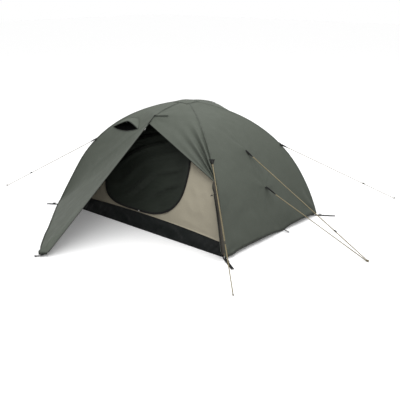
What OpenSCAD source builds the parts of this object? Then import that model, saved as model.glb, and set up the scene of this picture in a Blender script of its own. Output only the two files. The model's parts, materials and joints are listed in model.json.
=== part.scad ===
// Two-person double-wall dome tent. Two shock-corded poles cross over the middle and a short
// ridge pole runs front to back over them. A rain fly with one door half rolled back lies over
// a hanging inner tent with a bathtub floor.
// Frame: origin on the ground under the middle of the floor, +Z up, doorway towards -Y, the
// length of the floor along X. Millimetres.

/* [Floor] */
// Length of the sleeping floor along X
floor_l = 2010; // [1995:5:2010]
// Width of the sleeping floor along Y
floor_w = 1340; // [1330:5:1340]
// Height of the bathtub wall
tub_h = 145; // [125:5:150]

/* [Poles] */
// Outer diameter of the pole tubes
tube_d = 8.5; // [8:0.1:8.6]
// Wall thickness of the pole tubes
tube_wall = 0.6; // [0.5:0.05:0.7]
// Height of the lower pole's axis where the poles cross
crown_h = 1044; // [1040:1:1048]
// Bend radius of the two long poles
pole_r = 1238; // [1234:1:1240]

/* [Fly] */
// Thickness of the solids that stand for the cloth panels
cloth = 2; // [1.5:0.1:2]
// How far the middle of each side panel sags inwards
side_sag = 12; // [0:1:18]
// How far the front left hem corner is pulled out past the others
left_pull = 74; // [40:2:80]

/* [Guying] */
// Diameter of the guy lines
line_d = 3; // [2.5:0.1:3.2]
// Length of the ground pegs
peg_l = 170; // [140:5:200]

/* [Hidden] */

// Heading of the poles, measured from X
phi = atan2(floor_w, floor_l);
// Number of tube sections in a long pole
sections = 8;
// Vertical step between the poles where they cross
cross_step = 12;
centre_a = crown_h - pole_r;
centre_b = centre_a + cross_step;
fly_centre = centre_a + cross_step / 2;
// Height of the lower end of the tubes
tube_end_z = 20;
foot_a = acos((tube_end_z - centre_a) / pole_r);
foot_b = acos((tube_end_z - centre_b) / pole_r);
// End gap between two butting tubes, in degrees of bend
butt_gap = 0.02;
fit = 0.05;
ferrule_l = 80;
cord_r = 1.2;
// Ridge pole: crown height, reach to each side and height of its ends
ridge_crown = crown_h + 26;
ridge_reach = 408;
ridge_drop = 71;
ridge_r = (pow(ridge_reach, 2) + pow(ridge_drop, 2)) / (2 * ridge_drop);
ridge_centre = ridge_crown - ridge_r;
ridge_a = asin(ridge_reach / ridge_r);

// Radius of the fly seams about fly_centre, and the rise over the crossing
fly_r = pole_r + 14;
crown_bump = 19;
bump_a = 12;
crown_a = 2.2;
hem_a = 80.3;
flare_from = 60;
flare = 26;
seam = 3;
fly_ridge_r = ridge_r + 13;
brow_y = 423;
brow = [0, -brow_y, ridge_centre + sqrt(pow(fly_ridge_r, 2) - pow(brow_y, 2))];
rear_hem = [0, 790, 27];
// Lower end of the zip edge of the flap, and the vestibule peg
zip_foot = [-105, -1600, 30];
vestibule_peg = [-176, -1668, 0];
// Angle down the right pole at which the rolled half of the door is tied back
tie_a = 52.9;

// Radius of the inner tent's seams about fly_centre
inner_r = pole_r - 33;
inner_top_a = 4;
inner_base_a = acos((tub_h + 5 - fly_centre) / inner_r);

// Doorway of the inner tent, a rounded outline in the wall, seen from the front
door_x = -10;
door_z = 520;
door_half_w = 490;
door_down = 348;
door_up = 370;
door_power = 2.4;
door_gap = 4;

// Ground ends of the guy lines
guy_ground = [[-2040, -715, 0], [1470, -1140, 0], [1400, 1670, 0], [-1400, 1670, 0]];
guy_side = [[-1, -1], [1, -1], [1, 1], [-1, 1]];
// Angle of each guy point down its seam, and the length of its tab
guy_a = [45, 42.5, 45, 45];
tab_l = [95, 50, 95, 95];
// The right panel's two guy points: shared peg, angle down the panel, Y and length of the tab
side_peg = [1930, 30, 0];
side_tab_a = [42, 60.5];
side_tab_y = [0, 32];
side_tab_l = [110, 135];
tab_rise = 4;
tab_t = 1.6;
// Half widths of a tab at its root and its end, for the seams and for the side panel
seam_tab_w = [26, 5];
side_tab_w = [15, 6];
// Height of a guy line where it meets its peg, and of the two lines on the shared peg
line_lift = 8;
side_line_lift = [13, 4];
line_r = line_d / 2;
runner_l = 26;
runner_r = 4.5;

// Colours
fly_green = [0.38, 0.41, 0.37];
inner_beige = [0.62, 0.60, 0.52];
tub_black = [0.10, 0.12, 0.12];
web_black = [0.06, 0.06, 0.06];
tube_grey = [0.45, 0.40, 0.34];
steel = [0.72, 0.72, 0.72];
line_cream = [0.80, 0.74, 0.48];

$fn = 24;
// Facets in a full turn of the large pole arcs
arc_fn = 360;

// ---- Points and frames ----

function lerp(p, q, t) = p + (q - p) * t;
function unit(v) = v / norm(v);
function inset(p, q, d) = p + unit(q - p) * d;
function row(p, q, cols, gap_p, gap_q) =
    let (a = inset(p, q, gap_p), b = inset(q, p, gap_q))
    [for (j = [0 : cols]) lerp(a, b, j / cols)];

// A point on one of the four fly seams, at an angle down from the crown
function rail(a, sx, sy) =
    let (
        pull = flare + (sx < 0 && sy < 0 ? left_pull : 0),
        out = pow(max(0, a - flare_from) / (hem_a - flare_from), 2),
        r = fly_r + crown_bump * exp(-pow(a / bump_a, 2)) + pull * out
    )
    [sx * r * sin(a) * cos(phi), sy * r * sin(a) * sin(phi), fly_centre + r * cos(a)];

function inner_rail(a, sx, sy) = [
    sx * inner_r * sin(a) * cos(phi),
    sy * inner_r * sin(a) * sin(phi),
    fly_centre + inner_r * cos(a)
];

function ridge_line(y) = [0, y, ridge_centre + sqrt(pow(fly_ridge_r, 2) - pow(y, 2))];

// A point at share s of the way along the ridge, then along straight legs through the points
function spine(s, legs, sy) =
    let (
        along = s * (brow_y + path_length(legs)),
        rest = along - brow_y
    )
    rest <= 0 ? ridge_line(sy * along) : path_point(legs, rest, 0);
function path_length(legs, i = 0) =
    i >= len(legs) - 1 ? 0 : norm(legs[i + 1] - legs[i]) + path_length(legs, i + 1);
function path_point(legs, d, i) =
    let (leg = norm(legs[i + 1] - legs[i]))
    d <= leg || i == len(legs) - 2
        ? lerp(legs[i], legs[i + 1], min(1, d / leg))
        : path_point(legs, d - leg, i + 1);

left_corner = rail(hem_a, -1, -1);
zip_top = lerp(brow, zip_foot, 0.06);
tie_point = rail(tie_a, 1, -1);

// Stands local Z up out of a vertical plane at a heading, so that local X is up and Y outwards
module upright(heading, centre) {
    translate([0, 0, centre]) rotate([0, -90, heading - 90]) children();
}

// Puts local Z along the line from p towards q, with local X as near as possible to side
module along(p, q, side = [0, 0, 1]) {
    z = unit(q - p);
    y = unit(cross(z, side));
    x = cross(y, z);
    multmatrix([
        [x[0], y[0], z[0], p[0]],
        [x[1], y[1], z[1], p[1]],
        [x[2], y[2], z[2], p[2]],
        [0, 0, 0, 1]
    ]) children();
}

module arc_tube(bend, a0, a1, outer, inner) {
    rotate([0, 0, a0])
        rotate_extrude(angle = a1 - a0, $fn = arc_fn)
            translate([bend, 0])
                difference() {
                    circle(outer, $fn = 24);
                    if (inner > 0) circle(inner, $fn = 24);
                }
}

// ---- Cloth ----

function bend_normal(g, i, j) =
    let (
        n = len(g) - 1,
        m = len(g[0]) - 1,
        down = g[min(n, i + 1)][j] - g[max(0, i - 1)][j],
        over = g[i][min(m, j + 1)] - g[i][max(0, j - 1)]
    )
    unit(cross(down, over));

// A closed sheet of even thickness over a grid of points
module sheet(g, thick) {
    n = len(g);
    m = len(g[0]);
    size = n * m;
    upper = [for (i = [0 : n - 1]) for (j = [0 : m - 1]) g[i][j] + bend_normal(g, i, j) * thick / 2];
    lower = [for (i = [0 : n - 1]) for (j = [0 : m - 1]) g[i][j] - bend_normal(g, i, j) * thick / 2];
    cells = [for (i = [0 : n - 2]) for (j = [0 : m - 2]) i * m + j];
    rim = concat(
        [for (j = [0 : m - 2]) j],
        [for (i = [0 : n - 2]) i * m + m - 1],
        [for (j = [m - 1 : -1 : 1]) (n - 1) * m + j],
        [for (i = [n - 1 : -1 : 1]) i * m]
    );
    k = len(rim);
    polyhedron(
        concat(upper, lower),
        concat(
            [for (c = cells) [c, c + 1, c + m + 1]],
            [for (c = cells) [c, c + m + 1, c + m]],
            [for (c = cells) [size + c, size + c + m + 1, size + c + 1]],
            [for (c = cells) [size + c, size + c + m, size + c + m + 1]],
            [for (e = [0 : k - 1]) [rim[(e + 1) % k], rim[e], size + rim[e]]],
            [for (e = [0 : k - 1]) [rim[(e + 1) % k], size + rim[e], size + rim[(e + 1) % k]]]
        ),
        convexity = 6
    );
}

// The same for a grid whose columns close into a ring: rows run from the hole to the outside
module ring_sheet(g, shift) {
    n = len(g);
    m = len(g[0]);
    size = n * m;
    front = [for (r = g) for (p = r) p - shift / 2];
    back = [for (r = g) for (p = r) p + shift / 2];
    polyhedron(
        concat(front, back),
        concat(
            [for (i = [0 : n - 2]) for (j = [0 : m - 1]) [i * m + j, i * m + (j + 1) % m, (i + 1) * m + j]],
            [for (i = [0 : n - 2]) for (j = [0 : m - 1])
                [(i + 1) * m + j, i * m + (j + 1) % m, (i + 1) * m + (j + 1) % m]],
            [for (i = [0 : n - 2]) for (j = [0 : m - 1])
                [size + i * m + j, size + (i + 1) * m + j, size + i * m + (j + 1) % m]],
            [for (i = [0 : n - 2]) for (j = [0 : m - 1])
                [size + (i + 1) * m + j, size + (i + 1) * m + (j + 1) % m, size + i * m + (j + 1) % m]],
            [for (j = [0 : m - 1]) [(j + 1) % m, j, size + j]],
            [for (j = [0 : m - 1]) [(j + 1) % m, size + j, size + (j + 1) % m]],
            [for (j = [0 : m - 1]) [size - m + j, size - m + (j + 1) % m, 2 * size - m + j]],
            [for (j = [0 : m - 1])
                [2 * size - m + j, size - m + (j + 1) % m, 2 * size - m + (j + 1) % m]]
        ),
        convexity = 6
    );
}

// A closed round bundle through a list of centres, with a radius at each
module bundle(centres, radii, sides = 12) {
    n = len(centres);
    ends = [for (i = [0 : n - 1]) unit(centres[min(n - 1, i + 1)] - centres[max(0, i - 1)])];
    rings = [for (i = [0 : n - 1]) for (k = [0 : sides - 1])
        let (
            u = unit(cross(ends[i], [0, 0, 1])),
            v = cross(ends[i], u)
        )
        centres[i] + radii[i] * (u * cos(360 * k / sides) + v * sin(360 * k / sides))];
    polyhedron(
        rings,
        concat(
            [for (i = [0 : n - 2]) for (k = [0 : sides - 1])
                [i * sides + k, i * sides + (k + 1) % sides, (i + 1) * sides + (k + 1) % sides]],
            [for (i = [0 : n - 2]) for (k = [0 : sides - 1])
                [i * sides + k, (i + 1) * sides + (k + 1) % sides, (i + 1) * sides + k]],
            [for (k = [1 : sides - 2]) [0, k + 1, k]],
            [for (k = [1 : sides - 2])
                [(n - 1) * sides, (n - 1) * sides + k, (n - 1) * sides + k + 1]]
        ),
        convexity = 4
    );
}

// ---- Poles ----

module pole_section(heading, centre, foot, k) {
    step = 2 * foot / sections;
    color(tube_grey)
        upright(heading, centre)
            arc_tube(pole_r, -foot + (k - 1) * step + butt_gap, -foot + k * step - butt_gap,
                tube_d / 2, tube_d / 2 - tube_wall);
}

// Pole A runs from the front left corner to the rear right one, and pole B crosses over it
module pole_a_section(k) pole_section(phi, centre_a, foot_a, k);
module pole_b_section(k) pole_section(-phi, centre_b, foot_b, k);

module ridge_section(a0, a1) {
    color(tube_grey)
        upright(90, ridge_centre)
            arc_tube(ridge_r, a0, a1, tube_d / 2, tube_d / 2 - tube_wall);
}
module ridge_pole_front() ridge_section(-ridge_a, -butt_gap);
module ridge_pole_rear() ridge_section(butt_gap, ridge_a);

module ferrule(bend, a) {
    half = ferrule_l / 2 / bend * 180 / PI;
    arc_tube(bend, a - half, a + half, tube_d / 2 - tube_wall - fit, tube_d / 2 - tube_wall - fit - 0.9);
}

module pole_ferrules() {
    color(steel) {
        for (k = [1 : sections - 1]) {
            upright(phi, centre_a) ferrule(pole_r, -foot_a + k * 2 * foot_a / sections);
            upright(-phi, centre_b) ferrule(pole_r, -foot_b + k * 2 * foot_b / sections);
        }
        upright(90, ridge_centre) ferrule(ridge_r, 0);
    }
}

module shock_cords() {
    color("white") {
        upright(phi, centre_a) arc_tube(pole_r, 1 - foot_a, foot_a - 1, cord_r, 0);
        upright(-phi, centre_b) arc_tube(pole_r, 1 - foot_b, foot_b - 1, cord_r, 0);
        upright(90, ridge_centre) arc_tube(ridge_r, 1 - ridge_a, ridge_a - 1, cord_r, 0);
    }
}

// End plug: inside the tube, then a shoulder, then a thinner pin
module pole_tip(bend, a, pin_l) {
    deg = 180 / PI / bend;
    plug_r = tube_d / 2 - tube_wall - fit;
    arc_tube(bend, a - 16 * deg, a + 0.4 * deg, plug_r, 0);
    arc_tube(bend, a + 0.4 * deg, a + 3.4 * deg, tube_d / 2, 0);
    arc_tube(bend, a + 3.4 * deg, a + (3.4 + pin_l) * deg, 2.5, 0);
}

module pole_tips() {
    color(steel)
        for (turn = [0, 180]) {
            rotate([0, 0, turn]) upright(phi, centre_a) pole_tip(pole_r, foot_a, 14);
            rotate([0, 0, turn]) upright(-phi, centre_b) pole_tip(pole_r, foot_b, 14);
            rotate([0, 0, turn]) upright(90, ridge_centre) pole_tip(ridge_r, ridge_a, 5);
        }
}

hub_r = 24;
hub_h = 8;
hub_drop = 16;
cradle_w = 18;
lamp_loop_r = 12.5;
snap_gap = 0.2;
// Disc under the crossing with a cradle for the lower pole and a loop for a lamp
module crown_hub() {
    color(web_black) {
        difference() {
            union() {
                translate([0, 0, crown_h - hub_drop]) cylinder(r = hub_r, h = hub_h);
                rotate([0, 0, phi])
                    translate([-cradle_w / 2, -cradle_w / 2, crown_h - 9]) cube([cradle_w, cradle_w, 10]);
            }
            translate([0, 0, crown_h])
                rotate([0, 0, phi])
                    rotate([0, 90, 0])
                        cylinder(r = tube_d / 2 + snap_gap, h = 3 * hub_r, center = true);
        }
        translate([0, 0, crown_h - hub_drop - lamp_loop_r + 0.5])
            rotate([90, 0, 0]) rotate_extrude() translate([lamp_loop_r, 0]) circle(1.5);
    }
}

clip_r = tube_d / 2 + 1.7;
clip_w = 9;
clip_stem = 20;
clip_mouth = 1.5;
clip_angles = [14, 36, 55, 70];
// Clip that snaps onto a pole from inside, with a short stem down to the inner tent
module inner_clip(a) {
    rotate([0, 0, a])
        translate([pole_r, 0, 0]) {
            difference() {
                rotate([90, 0, 0]) cylinder(r = clip_r, h = clip_w, center = true);
                rotate([90, 0, 0]) cylinder(r = tube_d / 2 + snap_gap, h = clip_w + 2, center = true);
                translate([clip_mouth, -clip_w, -clip_r]) cube([clip_r, 2 * clip_w, 2 * clip_r]);
            }
            translate([-clip_stem, -clip_w / 2, -1.5]) cube([clip_stem - clip_r + 0.6, clip_w, 3]);
        }
}

module inner_clips() {
    color(web_black)
        for (a = clip_angles) {
            for (s = [-1, 1]) {
                upright(phi, centre_a) inner_clip(s * a);
                upright(-phi, centre_b) inner_clip(s * a);
            }
        }
}

// ---- Corners ----

strap_w = 25;
strap_in = 1211;
strap_out = 1440;
strap_z = 2.5;
strap_t = 2;
eyelet_r = 6;
eye_r = 6;
eye_h = 1424;
// Where a pole's pin passes the strap; pole A stands in the corners where the signs agree
function tip_reach(c) =
    sqrt(pow(pole_r, 2) - pow(strap_z + strap_t / 2 - (c[0] == c[1] ? centre_a : centre_b), 2));

module corner(sx, sy) {
    rotate([0, 0, atan2(sy * floor_w, sx * floor_l)]) children();
}

module corner_straps() {
    color(web_black)
        for (c = guy_side)
            corner(c[0], c[1])
                translate([0, 0, strap_z])
                    difference() {
                        translate([strap_in, -strap_w / 2, 0])
                            cube([strap_out - strap_in, strap_w, strap_t]);
                        translate([tip_reach(c), 0, -1]) cylinder(r = eyelet_r, h = strap_t + 2);
                        translate([eye_h, 0, -1]) cylinder(r = eye_r, h = strap_t + 2);
                    }
}

// Metal ring in each strap that takes a pole's tip
module corner_eyelets() {
    color(steel)
        for (c = guy_side)
            corner(c[0], c[1])
                translate([tip_reach(c), 0, strap_z - 0.4])
                    difference() {
                        cylinder(r = eyelet_r - fit, h = strap_t + 0.8);
                        translate([0, 0, -1]) cylinder(r = 3.6, h = 6);
                    }
}

buckle_at = 1284;
buckle_w = 30;
// Ladder buckle that joins each fly corner to its strap
module corner_buckles() {
    color(web_black)
        for (c = guy_side)
            corner(c[0], c[1])
                translate([c[0] < 0 && c[1] < 0 ? buckle_at + left_pull - 6 : buckle_at, 0, 8])
                    difference() {
                        translate([0, -buckle_w / 2, 0]) cube([26, buckle_w, 5]);
                        for (x = [5, 15]) translate([x, 3 - buckle_w / 2, -1]) cube([5, buckle_w - 6, 7]);
                    }
}

// ---- Fly ----

side_rows = 16;
side_cols = 8;

function sag_in(p, sx, t, a) = p - side_sag * 4 * t * (1 - t) * [sx * sin(a), 0, cos(a)];

module fly_side(sx) {
    g = [for (i = [0 : side_rows])
        let (
            a = lerp(crown_a, hem_a, i / side_rows),
            r = row(rail(a, sx, -sx), rail(a, sx, sx), side_cols, seam, seam)
        )
        [for (j = [0 : side_cols]) sag_in(r[j], sx, j / side_cols, a)]];
    color(fly_green) sheet(g, cloth);
}
module fly_right_panel() fly_side(1);
module fly_left_panel() fly_side(-1);

// Shares down a panel from s0 to s1, with one row exactly on the end of the ridge
ridge_rows = 4;
panel_rows = 15;
function panel_share(i, s0, s1, legs) =
    let (peak = brow_y / (brow_y + path_length(legs)))
    i < ridge_rows
        ? lerp(s0, peak, i / ridge_rows)
        : lerp(peak, s1, (i - ridge_rows) / (panel_rows - ridge_rows));

module fly_rear_panel() {
    legs = [[0, brow_y, brow[2]], rear_hem];
    g = [for (i = [0 : panel_rows])
        let (
            s = panel_share(i, crown_a / hem_a, 1, legs),
            c = spine(s, legs, 1),
            w = row(rail(s * hem_a, -1, 1), c, 4, seam, 0),
            e = row(c, rail(s * hem_a, 1, 1), 4, 0, seam)
        )
        concat(w, [for (j = [1 : 4]) e[j]])];
    color(fly_green) sheet(g, cloth);
}

canopy_top = 0.03;
canopy_cols = 5;
// Cloth between a front seam and the ridge, then the edge given by the legs, down to last_s
module front_canopy(sx, last_a, legs, last_s) {
    g = [for (i = [0 : panel_rows])
        let (s = panel_share(i, canopy_top, last_s, legs))
        row(rail(s * last_a, sx, -1), spine(s, legs, -1), canopy_cols, seam, seam)];
    color(fly_green) sheet(g, cloth);
}

module fly_front_right_canopy() {
    front_canopy(1, tie_a, [brow, zip_top, tie_point], 0.965);
}

function left_canopy(s, t) =
    lerp(rail(s * hem_a, -1, -1), spine(s, [brow, left_corner], -1), t);
// The vent's lower edge: shares of the canopy's length and width at its left and right ends
vent_s = [0.44, 0.35];
vent_t = [0.12, 0.88];
vent_left = left_canopy(vent_s[0], vent_t[0]);
vent_right = left_canopy(vent_s[1], vent_t[1]);
vent_below = left_canopy(0.50, 0.50);
vent_width = 0.96 * norm(vent_right - vent_left);
vent_drop = 44;
vent_rise = 14;

vent_x = unit(vent_left - vent_right);
vent_z = unit(cross(vent_x, vent_below - vent_right));
// Local X along the vent's lower edge towards the left seam, Y down the cloth, Z out of the tent
module at_vent() {
    x = vent_x;
    y = cross(vent_z, vent_x);
    z = vent_z;
    o = (vent_left + vent_right) / 2;
    multmatrix([
        [x[0], y[0], z[0], o[0]],
        [x[1], y[1], z[1], o[1]],
        [x[2], y[2], z[2], o[2]],
        [0, 0, 0, 1]
    ]) children();
}

module vent_outline(trim) {
    polygon([
        [-vent_width / 2 + 3 * trim, 0],
        [0, -vent_drop + trim],
        [vent_width / 2 - 3 * trim, 0],
        [0, vent_rise - trim]
    ]);
}

module fly_front_left_canopy() {
    difference() {
        front_canopy(-1, hem_a, [brow, left_corner], 0.94);
        at_vent() translate([0, 0, -40]) linear_extrude(80) vent_outline(0);
    }
}

mesh_depth = 13;
mesh_trim = 8;
module vent_mesh() {
    color(web_black)
        at_vent() translate([0, 0, -mesh_depth]) linear_extrude(1) vent_outline(mesh_trim);
}

// Shares of the canopy's length and width from the vent's lower edge up to the hood's root
hood_up = [0.07, 0.283];
// Width of the root as a share of the lip's
hood_root = 0.45;
hood_gap = 5;
hood_lift = 62;
hood_skew = 0.35;
hood_rows = 6;
hood_cols = 10;
// Stiffened hood over the vent: root and sides lie on the canopy, and the lip is arched
module vent_hood() {
    g = [for (i = [0 : hood_rows])
        [for (j = [0 : hood_cols])
            let (
                v = i / hood_rows,
                u = 2 * j / hood_cols - 1,
                w = (u * lerp(hood_root, 1, v) + 1) / 2,
                s = lerp(vent_s[1], vent_s[0], w) - hood_up[0] * (1 - v),
                t = lerp(vent_t[1], vent_t[0], w) - hood_up[1] * (1 - v),
                arch = pow(v, 1.3) * (1 - u * u) * (1 - hood_skew * u)
            )
            left_canopy(s, t) + vent_z * hood_gap + [0, 0, hood_lift * arch]]];
    color(fly_green) sheet(g, cloth);
}

// The prop's pivot above the vent's plane, and how far up the cloth it stands
strut_top = 15;
strut_back = 62;
strut_l = 28;
strut_w = 16;
// Short prop under the lip of the hood
module vent_strut() {
    color(web_black)
        at_vent()
            translate([0, -strut_back, strut_top])
                rotate([180, 0, 0])
                    translate([-strut_w / 2, -1, 0]) cube([strut_w, 2, strut_l]);
}

patch_z = ridge_centre + fly_ridge_r + cloth + 3;
patch_step = 22;
patch_slope = 0.06;
// Reinforcement over the crossing, sloping off to both sides of the ridge
module fly_crown_patch() {
    g = [for (i = [-4 : 4])
        [for (j = [-4 : 4])
            let (x = j * patch_step, y = i * patch_step, d = norm([x, y]))
            [x, y, patch_z - pow(d, 2) / (2 * fly_ridge_r) - patch_slope * abs(x)]]];
    color(fly_green) sheet(g, cloth);
}

flap_rows = 14;
flap_cols = 9;
// Triangle between the line it swings on and its zip edge
module vestibule_flap() {
    g = [for (i = [0 : flap_rows])
        let (
            s = lerp(0.05, 0.985, i / flap_rows),
            p = lerp(brow, left_corner, s),
            q = lerp(brow, zip_foot, s)
        )
        row(p, q, flap_cols, 5, 4)];
    color(fly_green) sheet(g, cloth);
}

// The roll's axis stands this far off the right front seam, square to it
roll_side = [-sin(phi), -cos(phi), 0];
roll_off = 31;
roll_steps = 12;
function roll_axis(a) = rail(a, 1, -1) + roll_side * roll_off;

// Half of the door rolled up against the right pole, rounded off at both ends
module rolled_door() {
    g = [for (i = [0 : roll_steps]) roll_axis(lerp(tie_a - 1, hem_a - 1.6, i / roll_steps))];
    radii = [for (i = [0 : roll_steps]) 12 + 10 * sqrt(sin(180 * (i + 0.4) / (roll_steps + 0.8)))];
    color(fly_green) bundle(g, radii);
}

tie_mid_a = 57;
tie_mid = roll_axis(tie_mid_a);
tie_next = roll_axis(tie_mid_a + 1);
loop_r = 25.5;

module tieback_loop() {
    color(web_black) along(tie_mid, tie_next) rotate_extrude($fn = 48) translate([loop_r, 0]) circle(1.5);
}

module tieback_toggle() {
    color(web_black)
        along(tie_mid, tie_next, roll_side)
            translate([loop_r + 6, 0, 0]) rotate([90, 0, 0]) cylinder(r = 4, h = 30, center = true);
}

// ---- Fly zip: tape and coil on the flap's straight edge, slider and pull ----

flap_out = unit(cross(left_corner - brow, zip_foot - brow));
module at_zip(d) {
    z = unit(zip_foot - brow);
    x = unit(cross(flap_out, z));
    multmatrix([
        [x[0], flap_out[0], z[0], brow[0] + z[0] * d],
        [x[1], flap_out[1], z[1], brow[1] + z[1] * d],
        [x[2], flap_out[2], z[2], brow[2] + z[2] * d],
        [0, 0, 0, 1]
    ]) children();
}
zip_from = 110;
zip_to = 1520;
slider_at = 150;
slider_l = 16;
tape_w = 13;
// Offset of the coil's axis across the tape and from the cloth
coil_at = [2, -3.5];
coil_r = 1.6;
pull_l = 34;
pull_w = 7;

module fly_zip_tape() {
    color(web_black)
        at_zip(zip_from) {
            translate([1 - tape_w, -4, 0]) cube([tape_w, 1, zip_to - zip_from]);
            translate([coil_at[0], coil_at[1], 0]) cylinder(r = coil_r, h = zip_to - zip_from);
        }
}

module fly_zip_slider() {
    color(steel)
        at_zip(slider_at)
            difference() {
                translate([-3, 2 * coil_at[1], 0]) cube([11, -2 * coil_at[1], slider_l]);
                translate([coil_at[0], coil_at[1], -1]) cylinder(r = coil_r + 0.3, h = slider_l + 2);
                translate([1 - tape_w, -4.3, -1]) cube([tape_w + 1, 1.6, slider_l + 2]);
            }
}

module fly_zip_pull() {
    color(line_cream)
        at_zip(slider_at)
            translate([2.5, 2, slider_l / 2])
                difference() {
                    union() {
                        translate([-pull_w / 2, -1, 0]) cube([pull_w, 2, pull_l]);
                        rotate([0, 90, 0]) cylinder(r = 1.7, h = pull_w, center = true);
                    }
                    translate([0, 0, pull_l - pull_w])
                        rotate([90, 0, 0]) cylinder(r = 2, h = 6, center = true);
                }
}

// ---- Inner tent ----

module inner_side(sx) {
    g = [for (i = [0 : 12])
        let (a = lerp(inner_top_a, inner_base_a, i / 12))
        row(inner_rail(a, sx, -sx), inner_rail(a, sx, sx), 6, seam, seam)];
    color(inner_beige) sheet(g, cloth);
}
module inner_right_wall() inner_side(1);
module inner_left_wall() inner_side(-1);

module inner_rear_wall() {
    g = [for (i = [0 : 12])
        let (a = lerp(inner_top_a, inner_base_a, i / 12))
        row(inner_rail(a, -1, 1), inner_rail(a, 1, 1), 8, seam, seam)];
    color(inner_beige) sheet(g, cloth);
}

// The front wall curves back with height and runs straight across between its seams
function on_front(x, z) = [x, -sin(phi) * sqrt(pow(inner_r, 2) - pow(z - fly_centre, 2)), z];
wall_top = fly_centre + inner_r * cos(inner_top_a + 3);
wall_base = tub_h + 5;

function door_reach(q, trim) =
    1 / pow(
        pow(abs(cos(q)) / (door_half_w - trim), door_power)
        + pow(abs(sin(q)) / ((sin(q) < 0 ? door_down : door_up) - trim), door_power),
        1 / door_power
    );

function wall_reach(q) =
    let (
        c = cos(q) / cos(phi),
        x = door_x / cos(phi),
        z = door_z - fly_centre,
        a = c * c + pow(sin(q), 2),
        b = 2 * (x * c + z * sin(q)),
        k = x * x + z * z - pow(inner_r - 8, 2),
        side = (-b + sqrt(b * b - 4 * a * k)) / (2 * a),
        level = sin(q) < -0.01 ? (wall_base - door_z) / sin(q)
            : sin(q) > 0.01 ? (wall_top - door_z) / sin(q) : side
    )
    min(side, level);

module inner_front_wall() {
    turns = 56;
    rows = 4;
    g = [for (i = [0 : rows])
        [for (k = [0 : turns - 1])
            let (
                q = 360 * (k + 0.5) / turns,
                r = lerp(door_reach(q, 0), wall_reach(q), i / rows)
            )
            on_front(door_x + r * cos(q), door_z + r * sin(q))]];
    color(inner_beige) ring_sheet(g, [0, cloth, 0]);
}

// Mesh door that fills the doorway, on the same curve as the wall
module inner_door() {
    rows = 16;
    g = [for (i = [0 : rows])
        let (
            e = lerp(-0.985, 0.985, i / rows),
            z = door_z - e * ((e > 0 ? door_down : door_up) - door_gap),
            w = (door_half_w - door_gap) * pow(1 - pow(abs(e), door_power), 1 / door_power)
        )
        [for (j = [0 : 10]) on_front(door_x + w * (j / 5 - 1), z)]];
    color([0.16, 0.17, 0.14]) sheet(g, 1.5);
}

module inner_zip_slider() {
    o = on_front(door_x, door_z - door_down);
    color(steel)
        translate(o + [0, -5, -5])
            difference() {
                translate([-8, -6, -5]) cube([16, 6, 10]);
                translate([4, -3, -6]) cylinder(r = 1.5, h = 12);
            }
}

module tub_floor() {
    color(tub_black) translate([-floor_l / 2, -floor_w / 2, 0]) cube([floor_l, floor_w, 2.5]);
}

// Four strips that lean in with the poles
module tub_wall() {
    lean = inner_rail(inner_base_a + 0.6, 1, 1);
    foot = [floor_l / 2 - 2, floor_w / 2 - 2, 3.2];
    head = [lean[0], lean[1], tub_h];
    color(tub_black)
        for (turn = [0 : 3]) {
            swap = turn % 2;
            sx = turn < 2 ? 1 : -1;
            sheet([for (i = [0 : 3])
                let (p = lerp(foot, head, i / 3))
                [for (j = [0 : 8])
                    let (u = (j / 4 - 1))
                    swap == 0
                        ? [sx * p[0], sx * u * (p[1] - seam), p[2]]
                        : [-sx * u * (p[0] - seam), sx * p[1], p[2]]]], cloth);
        }
}

// ---- Guying ----

guy_base = [for (k = [0 : 3]) rail(guy_a[k], guy_side[k][0], guy_side[k][1])];
function guy_tip(k) = inset(guy_base[k], guy_ground[k], tab_l[k]);
side_base = [for (k = [0, 1])
    sag_in(rail(side_tab_a[k], 1, 1), 1, 0.5, side_tab_a[k]) * [[1, 0, 0], [0, 0, 0], [0, 0, 1]]
        + [0, side_tab_y[k], 0]];
function side_tip(k) = inset(side_base[k], side_peg, side_tab_l[k]);

// Cloth tab towards a ground point: its root lies just off the cloth, square to the line
module tab(base, tip, off_cloth, widths) {
    side = unit(cross(off_cloth, tip - base));
    root = base + off_cloth * tab_rise;
    g = [for (i = [0 : 2])
        let (w = lerp(widths[0], widths[1], i / 2))
        [for (j = [-1, 0, 1]) lerp(root, tip, i / 2) + side * j * w]];
    color(web_black) sheet(g, tab_t);
}

module guy_tabs() {
    for (k = [0 : 3]) tab(guy_base[k], guy_tip(k), unit(guy_base[k] - [0, 0, fly_centre]), seam_tab_w);
    for (k = [0, 1])
        tab(side_base[k], side_tip(k), [sin(side_tab_a[k]), 0, cos(side_tab_a[k])], side_tab_w);
}

// Where a line meets its peg: just short of the peg, at a small height
function line_end(tip, ground, lift) =
    ground + [0, 0, lift] + unit([tip[0], tip[1], 0] - [ground[0], ground[1], 0]) * 9;

module guy_line(tip, ground, lift) {
    from = inset(tip, ground, 3);
    to = line_end(tip, ground, lift);
    color(line_cream) along(from, to) cylinder(r = line_r, h = norm(to - from));
}

module guy_lines() {
    for (k = [0 : 3]) guy_line(guy_tip(k), guy_ground[k], line_lift);
    for (k = [0, 1]) guy_line(side_tip(k), side_peg, side_line_lift[k]);
}

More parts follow.
